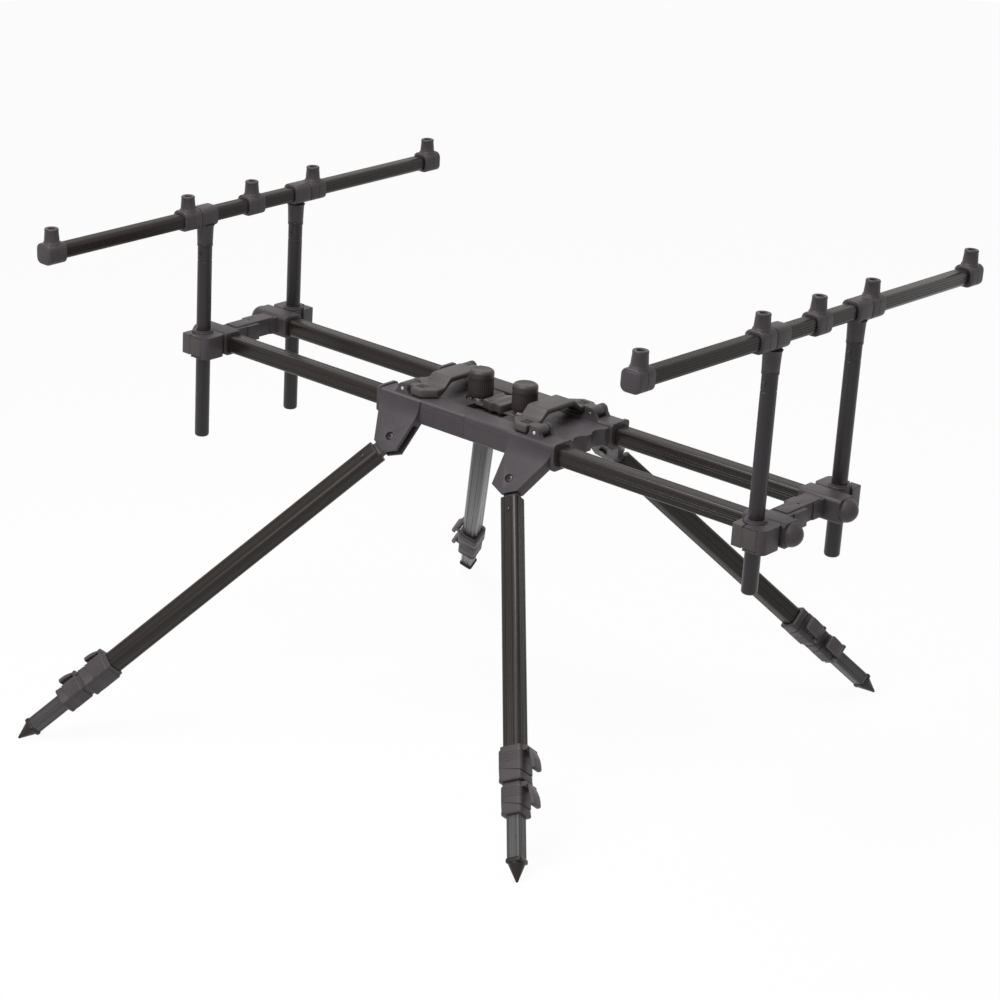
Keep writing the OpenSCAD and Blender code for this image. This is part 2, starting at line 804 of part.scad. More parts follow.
// Legs
module leg_knuckle(i) {
    color([0.22, 0.21, 0.22]) at_leg(i) difference() {
        union() {
            rotate([90, 0, 0]) cylinder(r = eye_r, h = tongue_t, center = true);
            translate([-neck_half, -tongue_t / 2, 0]) cube([2 * neck_half, tongue_t, tube_start + eps]);
            along_z(tube_start - shoulder, tube_start) rounded_square(outer_w, tube_r);
            along_z(tube_start - eps, tube_start + plug_len)
                rounded_square(outer_w - 2 * outer_wall, tube_r - outer_wall);
        }
        rotate([90, 0, 0]) cylinder(r = bolt_r + run_gap, h = big, center = true);
    }
}

function grip(len) = len * grip_share;

module leg_outer_tube(i) {
    color([0.3, 0.29, 0.31]) at_leg(i) along_z(tube_start, upper_start(i) + grip(upper_len))
        fluted_tube_section(outer_w, tube_r, outer_wall);
}

module leg_middle_tube(i) {
    color([0.3, 0.29, 0.31]) at_leg(i) along_z(middle_start, lower_start(i) + grip(lower_len))
        fluted_tube_section(middle_w, tube_r - outer_wall - slide_gap, middle_wall);
}

module leg_inner_tube(i) {
    r = tube_r - outer_wall - middle_wall - 2 * slide_gap;
    color([0.3, 0.29, 0.31]) at_leg(i)
        along_z(inner_start, lower_start(i) + lower_len + inner_show)
        fluted_tube_section(inner_w, r, inner_wall);
}

module leg_spike(i) {
    ring_z = lower_start(i) + lower_len + inner_show;
    color([0.2, 0.2, 0.21]) at_leg(i) {
        along_z(ring_z - spike_plug, ring_z + eps) rounded_square(inner_w - 2 * inner_wall, shoulder);
        along_z(ring_z, ring_z + spike_ring_h) rounded_square(inner_w + 2 * spike_ring_out, round_small);
        translate([0, 0, ring_z + spike_ring_h])
            cylinder(r1 = inner_w / 2 + spike_ring_out, r2 = spike_tip_r, h = spike_len);
        translate([0, 0, leg_len(i)]) sphere(spike_tip_r);
    }
}

// Pin of a clamp lever on the outboard face of a collar, turned end for end on the far right leg
module at_clamp(i, start, len, w) {
    pin_z = is_turned(i) ? start + len - lever_start : start + lever_start;
    at_leg(i) translate([w / 2 + pin_out, 0, pin_z]) rotate([is_turned(i) ? 180 : 0, 0, 0]) children();
}

function is_turned(i) = is_far(i) && !is_left(i);

// Two ears on a collar with the pin between them
module lever_ears() {
    inner = lever_w / 2 + slide_gap;
    outer = inner + clamp_ear_t;
    for (f = [false, true]) on_face(f) along_y(-outer, -inner) {
        circle(lever_barrel_r);
        translate([-pin_out - eps, -lever_barrel_r]) square([pin_out + eps, 2 * lever_barrel_r]);
    }
    along_y(-outer, outer) circle(lever_pin_r);
}

module clamp_lever(i, start, len, w) {
    mid_out = lever_barrel_r + lever_flare * blade_bow;
    tip_out = lever_barrel_r + lever_flare;
    half = lever_len / 2;
    blade = [[lever_barrel_r - lever_t, 0], [lever_barrel_r, 0], [mid_out, half], [tip_out, lever_len],
        [tip_out - lever_t, lever_len], [mid_out - lever_t, half]];
    color([0.24, 0.23, 0.25]) at_clamp(i, start, len, w) along_y(-lever_w / 2, lever_w / 2) difference() {
        union() {
            circle(lever_barrel_r);
            polygon(blade);
        }
        circle(lever_pin_r + run_gap);
    }
}

module leg_upper_collar(i) {
    start = upper_start(i);
    color([0.22, 0.21, 0.23]) {
        difference() {
            at_leg(i) along_z(start, start + upper_len) rounded_square(upper_w, collar_r);
            at_leg(i) along_z(start - eps, start + grip(upper_len)) fluted_square(outer_w, tube_r);
            at_leg(i) along_z(start, start + upper_len + eps)
                rounded_square(middle_w + 2 * slide_gap, tube_r - outer_wall);
        }
        at_clamp(i, start, upper_len, upper_w) lever_ears();
    }
}

module leg_upper_lever(i) { clamp_lever(i, upper_start(i), upper_len, upper_w); }

module leg_lower_collar(i) {
    start = lower_start(i);
    color([0.22, 0.21, 0.23]) {
        difference() {
            at_leg(i) along_z(start, start + lower_len) rounded_square(lower_w, collar_r);
            at_leg(i) along_z(start - eps, start + grip(lower_len))
                fluted_square(middle_w, tube_r - outer_wall - slide_gap);
            at_leg(i) along_z(start, start + lower_len + eps)
                rounded_square(inner_w + 2 * slide_gap, tube_r - outer_wall - middle_wall - slide_gap);
        }
        at_clamp(i, start, lower_len, lower_w) lever_ears();
    }
}

module leg_lower_lever(i) { clamp_lever(i, lower_start(i), lower_len, lower_w); }

body_left();
body_right();
link_plate();
steel_hardware();
knob_left();
knob_right();
cam_lever_left();
cam_lever_right();
left_rails();
right_rails();
left_end_bracket();
right_end_bracket();
left_posts();
right_posts();
left_tees();
right_tees();
left_bar();
right_bar();
left_sockets();
right_sockets();
for (i = [0:3]) {
    post_lever(i);
    leg_knuckle(i);
    leg_outer_tube(i);
    leg_upper_collar(i);
    leg_upper_lever(i);
    leg_middle_tube(i);
    leg_lower_collar(i);
    leg_lower_lever(i);
    leg_inner_tube(i);
    leg_spike(i);
}
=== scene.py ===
"""Looks of a carp rod pod: twin rails, two rod bars on posts and four folding telescopic legs."""
import math

import bmesh
import bpy
from mathutils import Matrix, Vector


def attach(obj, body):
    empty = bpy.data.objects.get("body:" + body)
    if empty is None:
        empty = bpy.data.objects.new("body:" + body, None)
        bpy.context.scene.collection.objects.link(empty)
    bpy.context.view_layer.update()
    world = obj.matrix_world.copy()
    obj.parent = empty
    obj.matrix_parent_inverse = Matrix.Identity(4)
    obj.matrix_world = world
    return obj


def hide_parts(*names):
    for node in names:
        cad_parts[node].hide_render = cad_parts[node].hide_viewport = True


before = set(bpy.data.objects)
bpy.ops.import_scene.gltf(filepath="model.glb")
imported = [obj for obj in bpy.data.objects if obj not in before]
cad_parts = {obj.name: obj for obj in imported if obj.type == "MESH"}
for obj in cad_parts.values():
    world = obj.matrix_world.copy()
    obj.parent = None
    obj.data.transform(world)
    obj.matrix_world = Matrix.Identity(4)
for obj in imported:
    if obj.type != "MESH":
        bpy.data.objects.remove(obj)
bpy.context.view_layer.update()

# Sizes in millimetres, as in the part's source
MM = 0.001
RAIL_W, RAIL_R, RAIL_Y, RAIL_INSET = 20.0, 4.0, 50.0, 3.0
SLEEVE_W, HALF_LEN, LIP_END = 28.0, 128.0, 129.0
POST_REACH, POST_Y, POST_R, POST_LEN = 400.0, 75.0, 8.5, 239.0
POST_GROOVE_LOW, POST_GROOVE_TOP, POST_GROOVE_CUT, POST_BUTTON_DROP = -22.0, -20.0, 0.35, 12.0
END_IN, END_OUT = 25.0, 27.0
COLLAR_R, COLLAR_TOP = 12.5, 13.0
FLAG_LEN, FLAG_T, FLAG_PIN_X, FLAG_PIN_Y = 14.5, 7.5, 13.0, -16.55
FLAG_BOTTOM, FLAG_TOP, FLAG_CORNER, HOOK_PROUD = -11.2, 10.7, 2.2, 0.25
BAR_Z = {"left": 156.0, "right": 207.0}
BAR_TILT = {"left": 1.4, "right": -1.5}
BAR_TURN = {"left": 1.6, "right": -1.0}
BAR_W, BAR_R, BAR_HALF = 17.0, 5.0, 308.5
TEE_DROP, TEE_LEN = 34.0, 24.0
SOCKET_YS = (-300.0, -100.0, 0.0, 100.0, 300.0)
SOCKET_LEN, SOCKET_RISE, THREAD_R, THREAD_DEPTH = 25.0, 28.0, 4.0, 17.0
THREAD_PITCH, THREAD_CUT = 1.27, 0.4
BAR_COLLAR_W, BAR_COLLAR_R = 23.5, 7.0
KNOB_X, KNOB_R, KNOB_H, KNOB_Z, NUT_Z, NUT_W = 32.0, 14.5, 31.0, 14.9, 10.5, 17.0
KNOB_RIBS, KNOB_RIB_CUT, KNOB_GRIP, KNOB_CROWN = 36, 0.4, 0.7, 4
LINK_Z, LINK_T, CREST_H, CREST_HALF, CREST_DEEP = 8.0, 2.5, 11.5, 15.0, 19.0
CREST_WAVES, CREST_EDGE_WAVE, CREST_TOP_WAVE = 2.2, 1.5, 0.7
CAM_X, CAM_Z, CAM_BARREL, CAM_PIN = 96.0, 19.5, 6.8, 2.0
CAM_INNER, BRIDGE_LEN, BRIDGE_RISE, BRIDGE_T, BRIDGE_FLAT = 56.0, 28.5, 15.0, 6.5, 22.0
SLOPE_FOOT, FOOT_TOP, FOOT_BOTTOM, FOOT_CUT = 34.5, 5.0, -4.6, (13.0, 14.0)
EAR_OUT, FOOT_OUT, FOOT_IN, EAR_T = 60.0, 54.6, 41.0, 5.0
PIVOT_X, PIVOT_Y, PIVOT_DROP = 87.4, 87.9, 28.1
BRACKET_TILT, BRACKET_FRONT, BRACKET_BACK = 39.2, 8.2, 6.4
BOLT_R, BOLT_HEAD_R, BOLT_RECESS = 3.0, 4.4, 1.8
SWING = {"near_left": 30.6, "near_right": 31.4, "far_left": 29.5, "far_right": 31.4}
NEAR_LEN = {"left": 556.0, "right": 452.0}
OUTER_W, MIDDLE_W, INNER_W = 21.5, 18.5, 15.9
OUTER_R, MIDDLE_R, INNER_R = 5.0, 3.5, 2.2
TUBE_START, PLUG_LEN, STOP_GAP, INNER_BACK = 23.0, 25.0, 2.0, 3
INNER_SHOW, RING_H, SPIKE_LEN, TIP_R, RING_OUT = 45.0, 5.0, 18.0, 1.6, 1.2
CLAMP_LEN = {"upper": 39.0, "lower": 35.0}
CLAMP_W = {"upper": 28.0, "lower": 25.0}
CLAMP_R, GRIP_SHARE, CLAMP_RIBS, CLAMP_RIB_PITCH = 4.5, 0.45, 5, 2.3
SLIT_SHARE, SLIT_SAG = 0.62, 5.0
LEVER_START, LEVER_LEN, LEVER_W, LEVER_T = 5.0, 23.0, 16.0, 2.6
LEVER_CURL, LEVER_SWELL, LEVER_PIN, LEVER_BARREL = 5.4, 2.2, 1.2, 2.8
THUMB_FROM, THUMB_TO, THUMB_RIBS, THUMB_RIB_H = 0.4, 0.92, 5, 0.3
PIN_OUT, CLAMP_EAR_T = 3.2, 2.5
SLIDE_GAP = 0.3
STACK = sum(CLAMP_LEN.values()) + SLIDE_GAP + INNER_SHOW + RING_H + SPIKE_LEN
SIDES = {"left": -1, "right": 1}
LEGS = tuple(SWING)

# Radius that closes a turned shape at its axis, and a slack for comparing radii
CORE, SLACK = 0.01, 0.01

# Edges flatter than the first are shaded smooth, those sharper than the second are rounded
SMOOTH_BELOW, ROUND_ABOVE, FLAT_BELOW = math.radians(38), math.radians(34), math.radians(1.0)


def side_of(leg):
    return leg.split("_")[1]


def ground_fit():
    """Pivot height, lean of the pod and height of its rail axis, from the near spike points."""
    tilt = math.radians(BRACKET_TILT)
    pivot_z = -PIVOT_DROP - BRACKET_FRONT * math.sin(tilt)
    reach, drop = {}, {}
    for side, n in NEAR_LEN.items():
        swing = math.radians(SWING["near_" + side])
        reach[side] = PIVOT_X + n * math.sin(swing)
        drop[side] = n * math.cos(swing) * math.cos(tilt) - pivot_z
    lean = math.atan((drop["left"] - drop["right"]) / (reach["left"] + reach["right"]))
    return pivot_z, lean, (drop["left"] - reach["left"] * math.tan(lean)) * math.cos(lean) + TIP_R


PIVOT_Z, LEAN, STAND_H = ground_fit()
POD = Matrix.Translation((0, 0, STAND_H)) @ Matrix.Rotation(LEAN, 4, "Y")


def leg_len(leg):
    """Pivot to spike tip, so that every spike stands on the ground."""
    s, swing, tilt = SIDES[side_of(leg)], math.radians(SWING[leg]), math.radians(BRACKET_TILT)
    height = PIVOT_Z + (STAND_H - TIP_R) / math.cos(LEAN) - s * PIVOT_X * math.tan(LEAN)
    return height / (math.cos(swing) * math.cos(tilt) + s * math.sin(swing) * math.tan(LEAN))


def bracket_frame(leg):
    """Frame at a leg's pivot: Z down the bracket, X outboard, Y out of the bracket's face."""
    flip = Matrix.Diagonal((SIDES[side_of(leg)], 1 if leg.startswith("near") else -1, 1, 1))
    place = Matrix.Translation((PIVOT_X, -PIVOT_Y, -PIVOT_DROP))
    tilt = Matrix.Rotation(math.radians(180 - BRACKET_TILT), 4, "X")
    return POD @ flip @ place @ tilt @ Matrix.Translation((0, -BRACKET_FRONT, 0))


def leg_frame(leg):
    """Bracket frame swung out to the leg: Z down the leg."""
    return bracket_frame(leg) @ Matrix.Rotation(math.radians(SWING[leg]), 4, "Y")


def clamp_start(leg, which):
    start = leg_len(leg) - STACK
    return start if which == "upper" else start + CLAMP_LEN["upper"] + SLIDE_GAP


def clamp_frame(leg, which):
    """Frame of a clamp lever's pin; the far right leg's clamps are fitted end for end."""
    turned_round = leg == "far_right"
    start = clamp_start(leg, which)
    pin_z = start + CLAMP_LEN[which] - LEVER_START if turned_round else start + LEVER_START
    turn = Matrix.Rotation(math.pi if turned_round else 0, 4, "X")
    return leg_frame(leg) @ Matrix.Translation((CLAMP_W[which] / 2 + PIN_OUT, 0, pin_z)) @ turn


def collar_frame(leg):
    """Frame of a post collar: X towards its lever's pin, Y into the pod, Z up."""
    turn = Matrix.Rotation(0 if leg.startswith("near") else math.pi, 4, "Z")
    middle = Matrix.Translation((SIDES[side_of(leg)] * POST_REACH, 0, 0))
    return POD @ middle @ turn @ Matrix.Translation((0, -POST_Y, 0))


def bar_frame(side):
    return POD @ Matrix.Translation((SIDES[side] * POST_REACH, 0, BAR_Z[side]))


def bar_skew(side):
    """The bar sits a little askew in its tees."""
    turn = Matrix.Rotation(math.radians(-BAR_TURN[side]), 4, "Z")
    return turn @ Matrix.Rotation(math.radians(BAR_TILT[side]), 4, "X")


# Mesh making
class Form:
    """Closed shells in a piece's own millimetres."""

    def __init__(self):
        self.verts, self.faces = [], []

    def loft(self, rings):
        base, n, count = len(self.verts), len(rings[0]), len(rings)
        for ring in rings:
            self.verts.extend(Vector(p) for p in ring)
        for k in range(count - 1):
            a, b = base + k * n, base + (k + 1) * n
            for j in range(n):
                self.faces.append((a + j, a + (j + 1) % n, b + (j + 1) % n, b + j))
        self.faces.append(tuple(range(base, base + n)))
        self.faces.append(tuple(range(base + (count - 1) * n, base + count * n)))
        return self


def rounded_profile(w, h, r, steps=6):
    pts = []
    for cx, cy, a0 in ((1, 1, 0), (-1, 1, 90), (-1, -1, 180), (1, -1, 270)):
        for k in range(steps + 1):
            a = math.radians(a0 + 90 * k / steps)
            pts.append((cx * (w / 2 - r) + r * math.cos(a), cy * (h / 2 - r) + r * math.sin(a)))
    return pts


def fluted_profile(w, r, grooves, steps=6):
    """Rounded square with shallow grooves (place, width, depth) along each face."""
    face = []
    for u, gw, d in sorted(grooves):
        face += [(u - gw / 2, 0), (u - gw * 0.28, d), (u + gw * 0.28, d), (u + gw / 2, 0)]
    pts = []
    for q in range(4):
        c, s = round(math.cos(q * math.pi / 2)), round(math.sin(q * math.pi / 2))
        side = [(u, w / 2 - d) for u, d in reversed(face)]
        arc = [(-(w / 2 - r) + r * math.cos(a), w / 2 - r + r * math.sin(a))
               for a in (math.radians(90 + 90 * k / steps) for k in range(steps + 1))]
        pts += [(x * c - y * s, x * s + y * c) for x, y in side + arc]
    return pts


def circle_profile(r, n=32):
    return [(r * math.cos(2 * math.pi * k / n), r * math.sin(2 * math.pi * k / n)) for k in range(n)]


def inset_profile(pts, d):
    """Profile with every point pulled in by d, square to its edge."""
    out = []
    for k, p in enumerate(pts):
        run = (Vector(pts[(k + 1) % len(pts)]) - Vector(pts[k - 1])).normalized()
        out.append((p[0] - run.y * d, p[1] + run.x * d))
    return out


def rounded_ends(z0, z1, edge, steps=3):
    """Stations (place, inset) that round both ends of an extrusion."""
    curve = [(edge * (1 - math.cos(a)), edge * (1 - math.sin(a)))
             for a in (math.pi / 2 * k / steps for k in range(steps + 1))]
    return [(z0 + dz, inset) for dz, inset in curve] + [(z1 - dz, inset) for dz, inset in reversed(curve)]


def along(axis, profile, stations):
    """Rings of a profile carried along X, Y or Z."""
    rings = []
    for t, inset in stations:
        pts = inset_profile(profile, inset) if inset else profile
        if axis == "Z":
            rings.append([(x, y, t) for x, y in pts])
        elif axis == "Y":
            rings.append([(x, t, y) for x, y in pts])
        else:
            rings.append([(t, x, y) for x, y in pts])
    return rings


def turned(profile, n=40, at=(0, 0, 0), wobble=None):
    """Rings of a turned shape from (radius, height) pairs; wobble changes the radius by angle and height."""
    rings = []
    for r, z in profile:
        ring = []
        for k in range(n):
            a = 2 * math.pi * k / n
            rr = r + (wobble(a, r, z) if wobble else 0)
            ring.append((at[0] + rr * math.cos(a), at[1] + rr * math.sin(a), at[2] + z))
        rings.append(ring)
    return rings


def moved(rings, place):
    return [[place @ Vector(p) for p in ring] for ring in rings]


def shifted(rings, x=0.0, y=0.0, z=0.0):
    return moved(rings, Matrix.Translation((x, y, z)))


def smooth(t):
    t = max(0.0, min(1.0, t))
    return t * t * (3 - 2 * t)


LONG_AXIS = {"X": (1, 2, 0), "Y": (0, 2, 1), "Z": (0, 1, 2)}


def make_piece(name, mesh, place, body, finish, stands_for, long_axis="Z"):
    """Links a mesh as a piece; its grain attribute keeps each point's place, with the long axis last."""
    inverse = place.inverted()
    grain = mesh.attributes.new("grain", "FLOAT_VECTOR", "POINT")
    order = LONG_AXIS[long_axis]
    for v in mesh.vertices:
        at = inverse @ (v.co / MM) * MM
        grain.data[v.index].vector = [at[k] for k in order]
    mesh.materials.clear()
    mesh.materials.append(finish)
    for p in mesh.polygons:
        p.use_smooth = True
    mesh.set_sharp_from_angle(angle=SMOOTH_BELOW)
    piece = bpy.data.objects.new(name, mesh)
    bpy.context.scene.collection.objects.link(piece)
    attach(piece, body)
    if stands_for:
        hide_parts(*stands_for)
    return piece


def build(name, form, place, body, finish, stands_for=(), long_axis="Z"):
    """Turns a form into a piece at its place in the pod."""
    mesh = bpy.data.meshes.new(name)
    mesh.from_pydata([place @ v * MM for v in form.verts], [], form.faces)
    bm = bmesh.new()
    bm.from_mesh(mesh)
    bmesh.ops.recalc_face_normals(bm, faces=bm.faces)
    bm.to_mesh(mesh)
    bm.free()
    return make_piece(name, mesh, place, body, finish, stands_for, long_axis)


def soften(name, node, place, body, finish, edge):
    """Carries a CAD solid over with its edges rounded, as a moulding or a machined piece has them."""
    mesh = bpy.data.meshes.new(name)
    bm = bmesh.new()
    bm.from_mesh(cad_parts[node].data)
    bmesh.ops.remove_doubles(bm, verts=bm.verts, dist=1e-6)
    bmesh.ops.dissolve_limit(bm, angle_limit=FLAT_BELOW, verts=bm.verts, edges=bm.edges)
    sharp = [e for e in bm.edges if len(e.link_faces) == 2 and e.calc_face_angle(0) > ROUND_ABOVE]
    bmesh.ops.bevel(bm, geom=sharp, offset=edge * MM, segments=2, profile=0.6, affect="EDGES",
                    clamp_overlap=True)
    bmesh.ops.recalc_face_normals(bm, faces=bm.faces)
    bm.to_mesh(mesh)
    bm.free()
    return make_piece(name, mesh, place, body, finish, (node,))


# Shared effects of the finishes
def socket(group, name, kind, way, value=None):
    item = group.interface.new_socket(name=name, in_out=way, socket_type="NodeSocket" + kind)
    if value is not None:
        item.default_value = value


def new_group(name):
    group = bpy.data.node_groups.new(name, "ShaderNodeTree")
    return group, group.nodes.new("NodeGroupInput"), group.nodes.new("NodeGroupOutput")


def sums(tree, op, a, b, clamp=False):
    node = tree.nodes.new("ShaderNodeMath")
    node.operation = op
    node.use_clamp = clamp
    for k, x in enumerate((a, b)):
        if isinstance(x, (int, float)):
            node.inputs[k].default_value = x
        else:
            tree.links.new(x, node.inputs[k])
    return node.outputs[0]


def grain_place(tree, scale=(1, 1, 1)):
    """Piece-frame coordinates stretched by scale per axis."""
    at = tree.nodes.new("ShaderNodeAttribute")
    at.attribute_name = "grain"
    size = tree.nodes.new("ShaderNodeMapping")
    size.inputs["Scale"].default_value = scale
    tree.links.new(at.outputs["Vector"], size.inputs["Vector"])
    return size.outputs["Vector"]


def noise(tree, place, scale, detail=4.0, rough=0.6):
    node = tree.nodes.new("ShaderNodeTexNoise")
    node.inputs["Scale"].default_value = scale
    node.inputs["Detail"].default_value = detail
    node.inputs["Roughness"].default_value = rough
    tree.links.new(place, node.inputs["Vector"])
    return node.outputs["Fac"]


def span(tree, x, lo, hi, to_lo=0.0, to_hi=1.0):
    node = tree.nodes.new("ShaderNodeMapRange")
    node.clamp = True
    tree.links.new(x, node.inputs["Value"])
    for key, value in (("From Min", lo), ("From Max", hi), ("To Min", to_lo), ("To Max", to_hi)):
        node.inputs[key].default_value = value
    return node.outputs["Result"]


def rubbed_edges_group():
    """Mask of rubbed edges, broken up by noise."""
    group, gin, gout = new_group("rubbed_edges")
    socket(group, "Width", "Float", "INPUT", 0.0008)
    socket(group, "Mask", "Float", "OUTPUT")
    bevel = group.nodes.new("ShaderNodeBevel")
    bevel.samples = 4
    group.links.new(gin.outputs["Width"], bevel.inputs["Radius"])
    geo = group.nodes.new("ShaderNodeNewGeometry")
    dot = group.nodes.new("ShaderNodeVectorMath")
    dot.operation = "DOT_PRODUCT"
    group.links.new(bevel.outputs["Normal"], dot.inputs[0])
    group.links.new(geo.outputs["Normal"], dot.inputs[1])
    bend = sums(group, "SUBTRACT", 1.0, dot.outputs["Value"])
    rub = span(group, noise(group, grain_place(group), 130.0, 5.0, 0.7), 0.38, 0.68)
    group.links.new(sums(group, "MULTIPLY", span(group, bend, 0.02, 0.22), rub, True), gout.inputs["Mask"])
    return group


def surface_group(name, fine_scale, fine, broad_scale, broad, tone, rough):
    """Tone, roughness and relief of a surface from a fine and a broad noise, each with its own stretch."""
    group, _, gout = new_group(name)
    for out in ("Tone", "Rough", "Height"):
        socket(group, out, "Float", "OUTPUT")
    small = noise(group, grain_place(group, fine_scale), fine, 3.0, 0.55)
    large = noise(group, grain_place(group, broad_scale), broad, 5.0, 0.62)
    both = sums(group, "ADD", sums(group, "MULTIPLY", small, 0.45), sums(group, "MULTIPLY", large, 0.55))
    group.links.new(span(group, both, 0.32, 0.68, 1 - tone, 1 + tone), gout.inputs["Tone"])
    group.links.new(span(group, both, 0.32, 0.68, -rough, rough), gout.inputs["Rough"])
    group.links.new(small, gout.inputs["Height"])
    return group


def hairline_scuffs_group():
    """Short fine scratches from handling, in two slants."""
    group, _, gout = new_group("hairline_scuffs")
    socket(group, "Mask", "Float", "OUTPUT")
    masks = []
    for scale in ((1.0, 0.05, 0.4), (0.06, 1.0, 0.7)):
        line = noise(group, grain_place(group, scale), 900.0, 2.0, 0.5)
        masks.append(span(group, line, 0.66, 0.74))
    patch = span(group, noise(group, grain_place(group), 55.0, 3.0, 0.6), 0.5, 0.68)
    both = sums(group, "MAXIMUM", masks[0], masks[1])
    group.links.new(sums(group, "MULTIPLY", both, patch, True), gout.inputs["Mask"])
    return group


def settled_dust_group():
    """Thin dust on what faces up."""
    group, _, gout = new_group("settled_dust")
    socket(group, "Mask", "Float", "OUTPUT")
    geo = group.nodes.new("ShaderNodeNewGeometry")
    part = group.nodes.new("ShaderNodeSeparateXYZ")
    group.links.new(geo.outputs["Normal"], part.inputs[0])
    up = span(group, part.outputs["Z"], 0.35, 1.0)
    specks = span(group, noise(group, grain_place(group), 420.0, 5.0, 0.7), 0.35, 0.8)
    group.links.new(sums(group, "MULTIPLY", up, specks, True), gout.inputs["Mask"])
    return group


DUST_TINT, RELIEF_M = (0.3, 0.27, 0.25), 0.0002
EDGES, SCUFFS, DUST = rubbed_edges_group(), hairline_scuffs_group(), settled_dust_group()
EVEN = (1, 1, 1)
MOULDED = surface_group("moulded_grain", EVEN, 1500.0, (1, 1, 0.5), 45.0, 0.13, 0.07)
DRAWN = surface_group("drawn_lines", (1, 1, 0.004), 2600.0, (1, 1, 0.03), 60.0, 0.1, 0.05)
MACHINED = surface_group("machined_rings", (0.05, 0.05, 1), 2200.0, EVEN, 120.0, 0.1, 0.08)


def finish_of(name, base, worn, grain, rough, metallic, specular, bump, wear, dust, scuff=0.25):
    """A finish from a base colour, a rubbed-edge colour and one of the grain groups."""
    mat = bpy.data.materials.new(name)
    mat.use_nodes = True
    tree = mat.node_tree
    shader = tree.nodes["Principled BSDF"]
    shader.inputs["Specular IOR Level"].default_value = specular
    shader.inputs["Metallic"].default_value = metallic
    groups = {}
    for key, group in (("grain", grain), ("edge", EDGES), ("scuff", SCUFFS), ("dust", DUST)):
        groups[key] = tree.nodes.new("ShaderNodeGroup")
        groups[key].node_tree = group
    colour = tree.nodes.new("ShaderNodeMix")
    colour.data_type, colour.blend_type = "RGBA", "MULTIPLY"
    colour.inputs["Factor"].default_value = 1.0
    colour.inputs[6].default_value = (*base, 1)
    tree.links.new(groups["grain"].outputs["Tone"], colour.inputs[7])
    for key, share, tint in (("edge", wear, worn), ("scuff", scuff, worn), ("dust", dust, DUST_TINT)):
        layer = tree.nodes.new("ShaderNodeMix")
        layer.data_type = "RGBA"
        tree.links.new(sums(tree, "MULTIPLY", groups[key].outputs["Mask"], share), layer.inputs["Factor"])
        tree.links.new(colour.outputs[2], layer.inputs[6])
        layer.inputs[7].default_value = (*tint, 1)
        colour = layer
    tree.links.new(colour.outputs[2], shader.inputs["Base Color"])
    level = sums(tree, "ADD", groups["grain"].outputs["Rough"], rough)
    level = sums(tree, "ADD", level, sums(tree, "MULTIPLY", groups["dust"].outputs["Mask"], dust), True)
    tree.links.new(level, shader.inputs["Roughness"])
    relief = tree.nodes.new("ShaderNodeBump")
    relief.inputs["Strength"].default_value = bump
    relief.inputs["Distance"].default_value = RELIEF_M
    tree.links.new(groups["grain"].outputs["Height"], relief.inputs["Height"])
    tree.links.new(relief.outputs["Normal"], shader.inputs["Normal"])
    return mat


ANODISED = finish_of("black_anodised", (0.015, 0.0115, 0.010), (0.09, 0.085, 0.085), DRAWN, 0.26, 0.0, 0.26,
                     0.06, 0.1, 0.04, 0.08)
POST_ANODISED = finish_of("matt_anodised", (0.022, 0.019, 0.022), (0.1, 0.095, 0.1), DRAWN, 0.36, 0.0, 0.32,
                          0.05, 0.1, 0.04, 0.08)
INNER_ANODISED = finish_of("grey_anodised", (0.034, 0.031, 0.032), (0.2, 0.19, 0.19), DRAWN, 0.25, 0.0, 0.5,
                           0.06, 0.2, 0.04, 0.1)
MOULDING = finish_of("charcoal_moulding", (0.047, 0.040, 0.045), (0.14, 0.13, 0.14), MOULDED, 0.44, 0.0, 0.3,
                     0.22, 0.35, 0.10)
LEVER = finish_of("lever_moulding", (0.060, 0.052, 0.053), (0.17, 0.16, 0.16), MOULDED, 0.42, 0.0, 0.3,
                  0.16, 0.4, 0.10)
KNOB = finish_of("knob_moulding", (0.036, 0.029, 0.027), (0.13, 0.12, 0.11), MOULDED, 0.40, 0.0, 0.3,
                 0.16, 0.35, 0.12)
# Near-black finish of the rings at the rail joints: painted shade.
JOINT_SHADE = finish_of("painted_joint_shade", (0.012, 0.011, 0.011), (0.05, 0.05, 0.05), MOULDED, 0.6, 0.0, 0.3,
                  0.2, 0.2, 0.08)
BRIGHT_STEEL = finish_of("bright_steel", (0.55, 0.55, 0.57), (0.75, 0.75, 0.77), MACHINED, 0.26, 1.0, 0.5,
                         0.12, 0.3, 0.03)
BLACK_STEEL = finish_of("blackened_steel", (0.045, 0.042, 0.045), (0.35, 0.34, 0.34), MACHINED, 0.24, 1.0,
                        0.5, 0.12, 0.4, 0.03)


# Tubes, posts and bars
TUBE_FLUTES = ((-4.0, 1.4, 0.5), (-1.4, 0.8, 0.2), (1.4, 0.8, 0.2), (4.0, 1.4, 0.5))
BAR_FLUTES = ((-2.6, 1.1, 0.4), (0.0, 1.1, 0.4), (2.6, 1.1, 0.4))


def make_rails(side):
    form = Form()
    profile = fluted_profile(RAIL_W, RAIL_R, TUBE_FLUTES)
    s = SIDES[side]
    for y in (-RAIL_Y, RAIL_Y):
        rings = along("X", profile, rounded_ends(RAIL_INSET, POST_REACH + END_OUT, 0.4))
        form.loft([[(s * x, y + u, v) for x, u, v in ring] for ring in rings])
    build(side + "_rail_pair", form, POD, side + "_carriage", ANODISED, (side + "_rails",), "X")


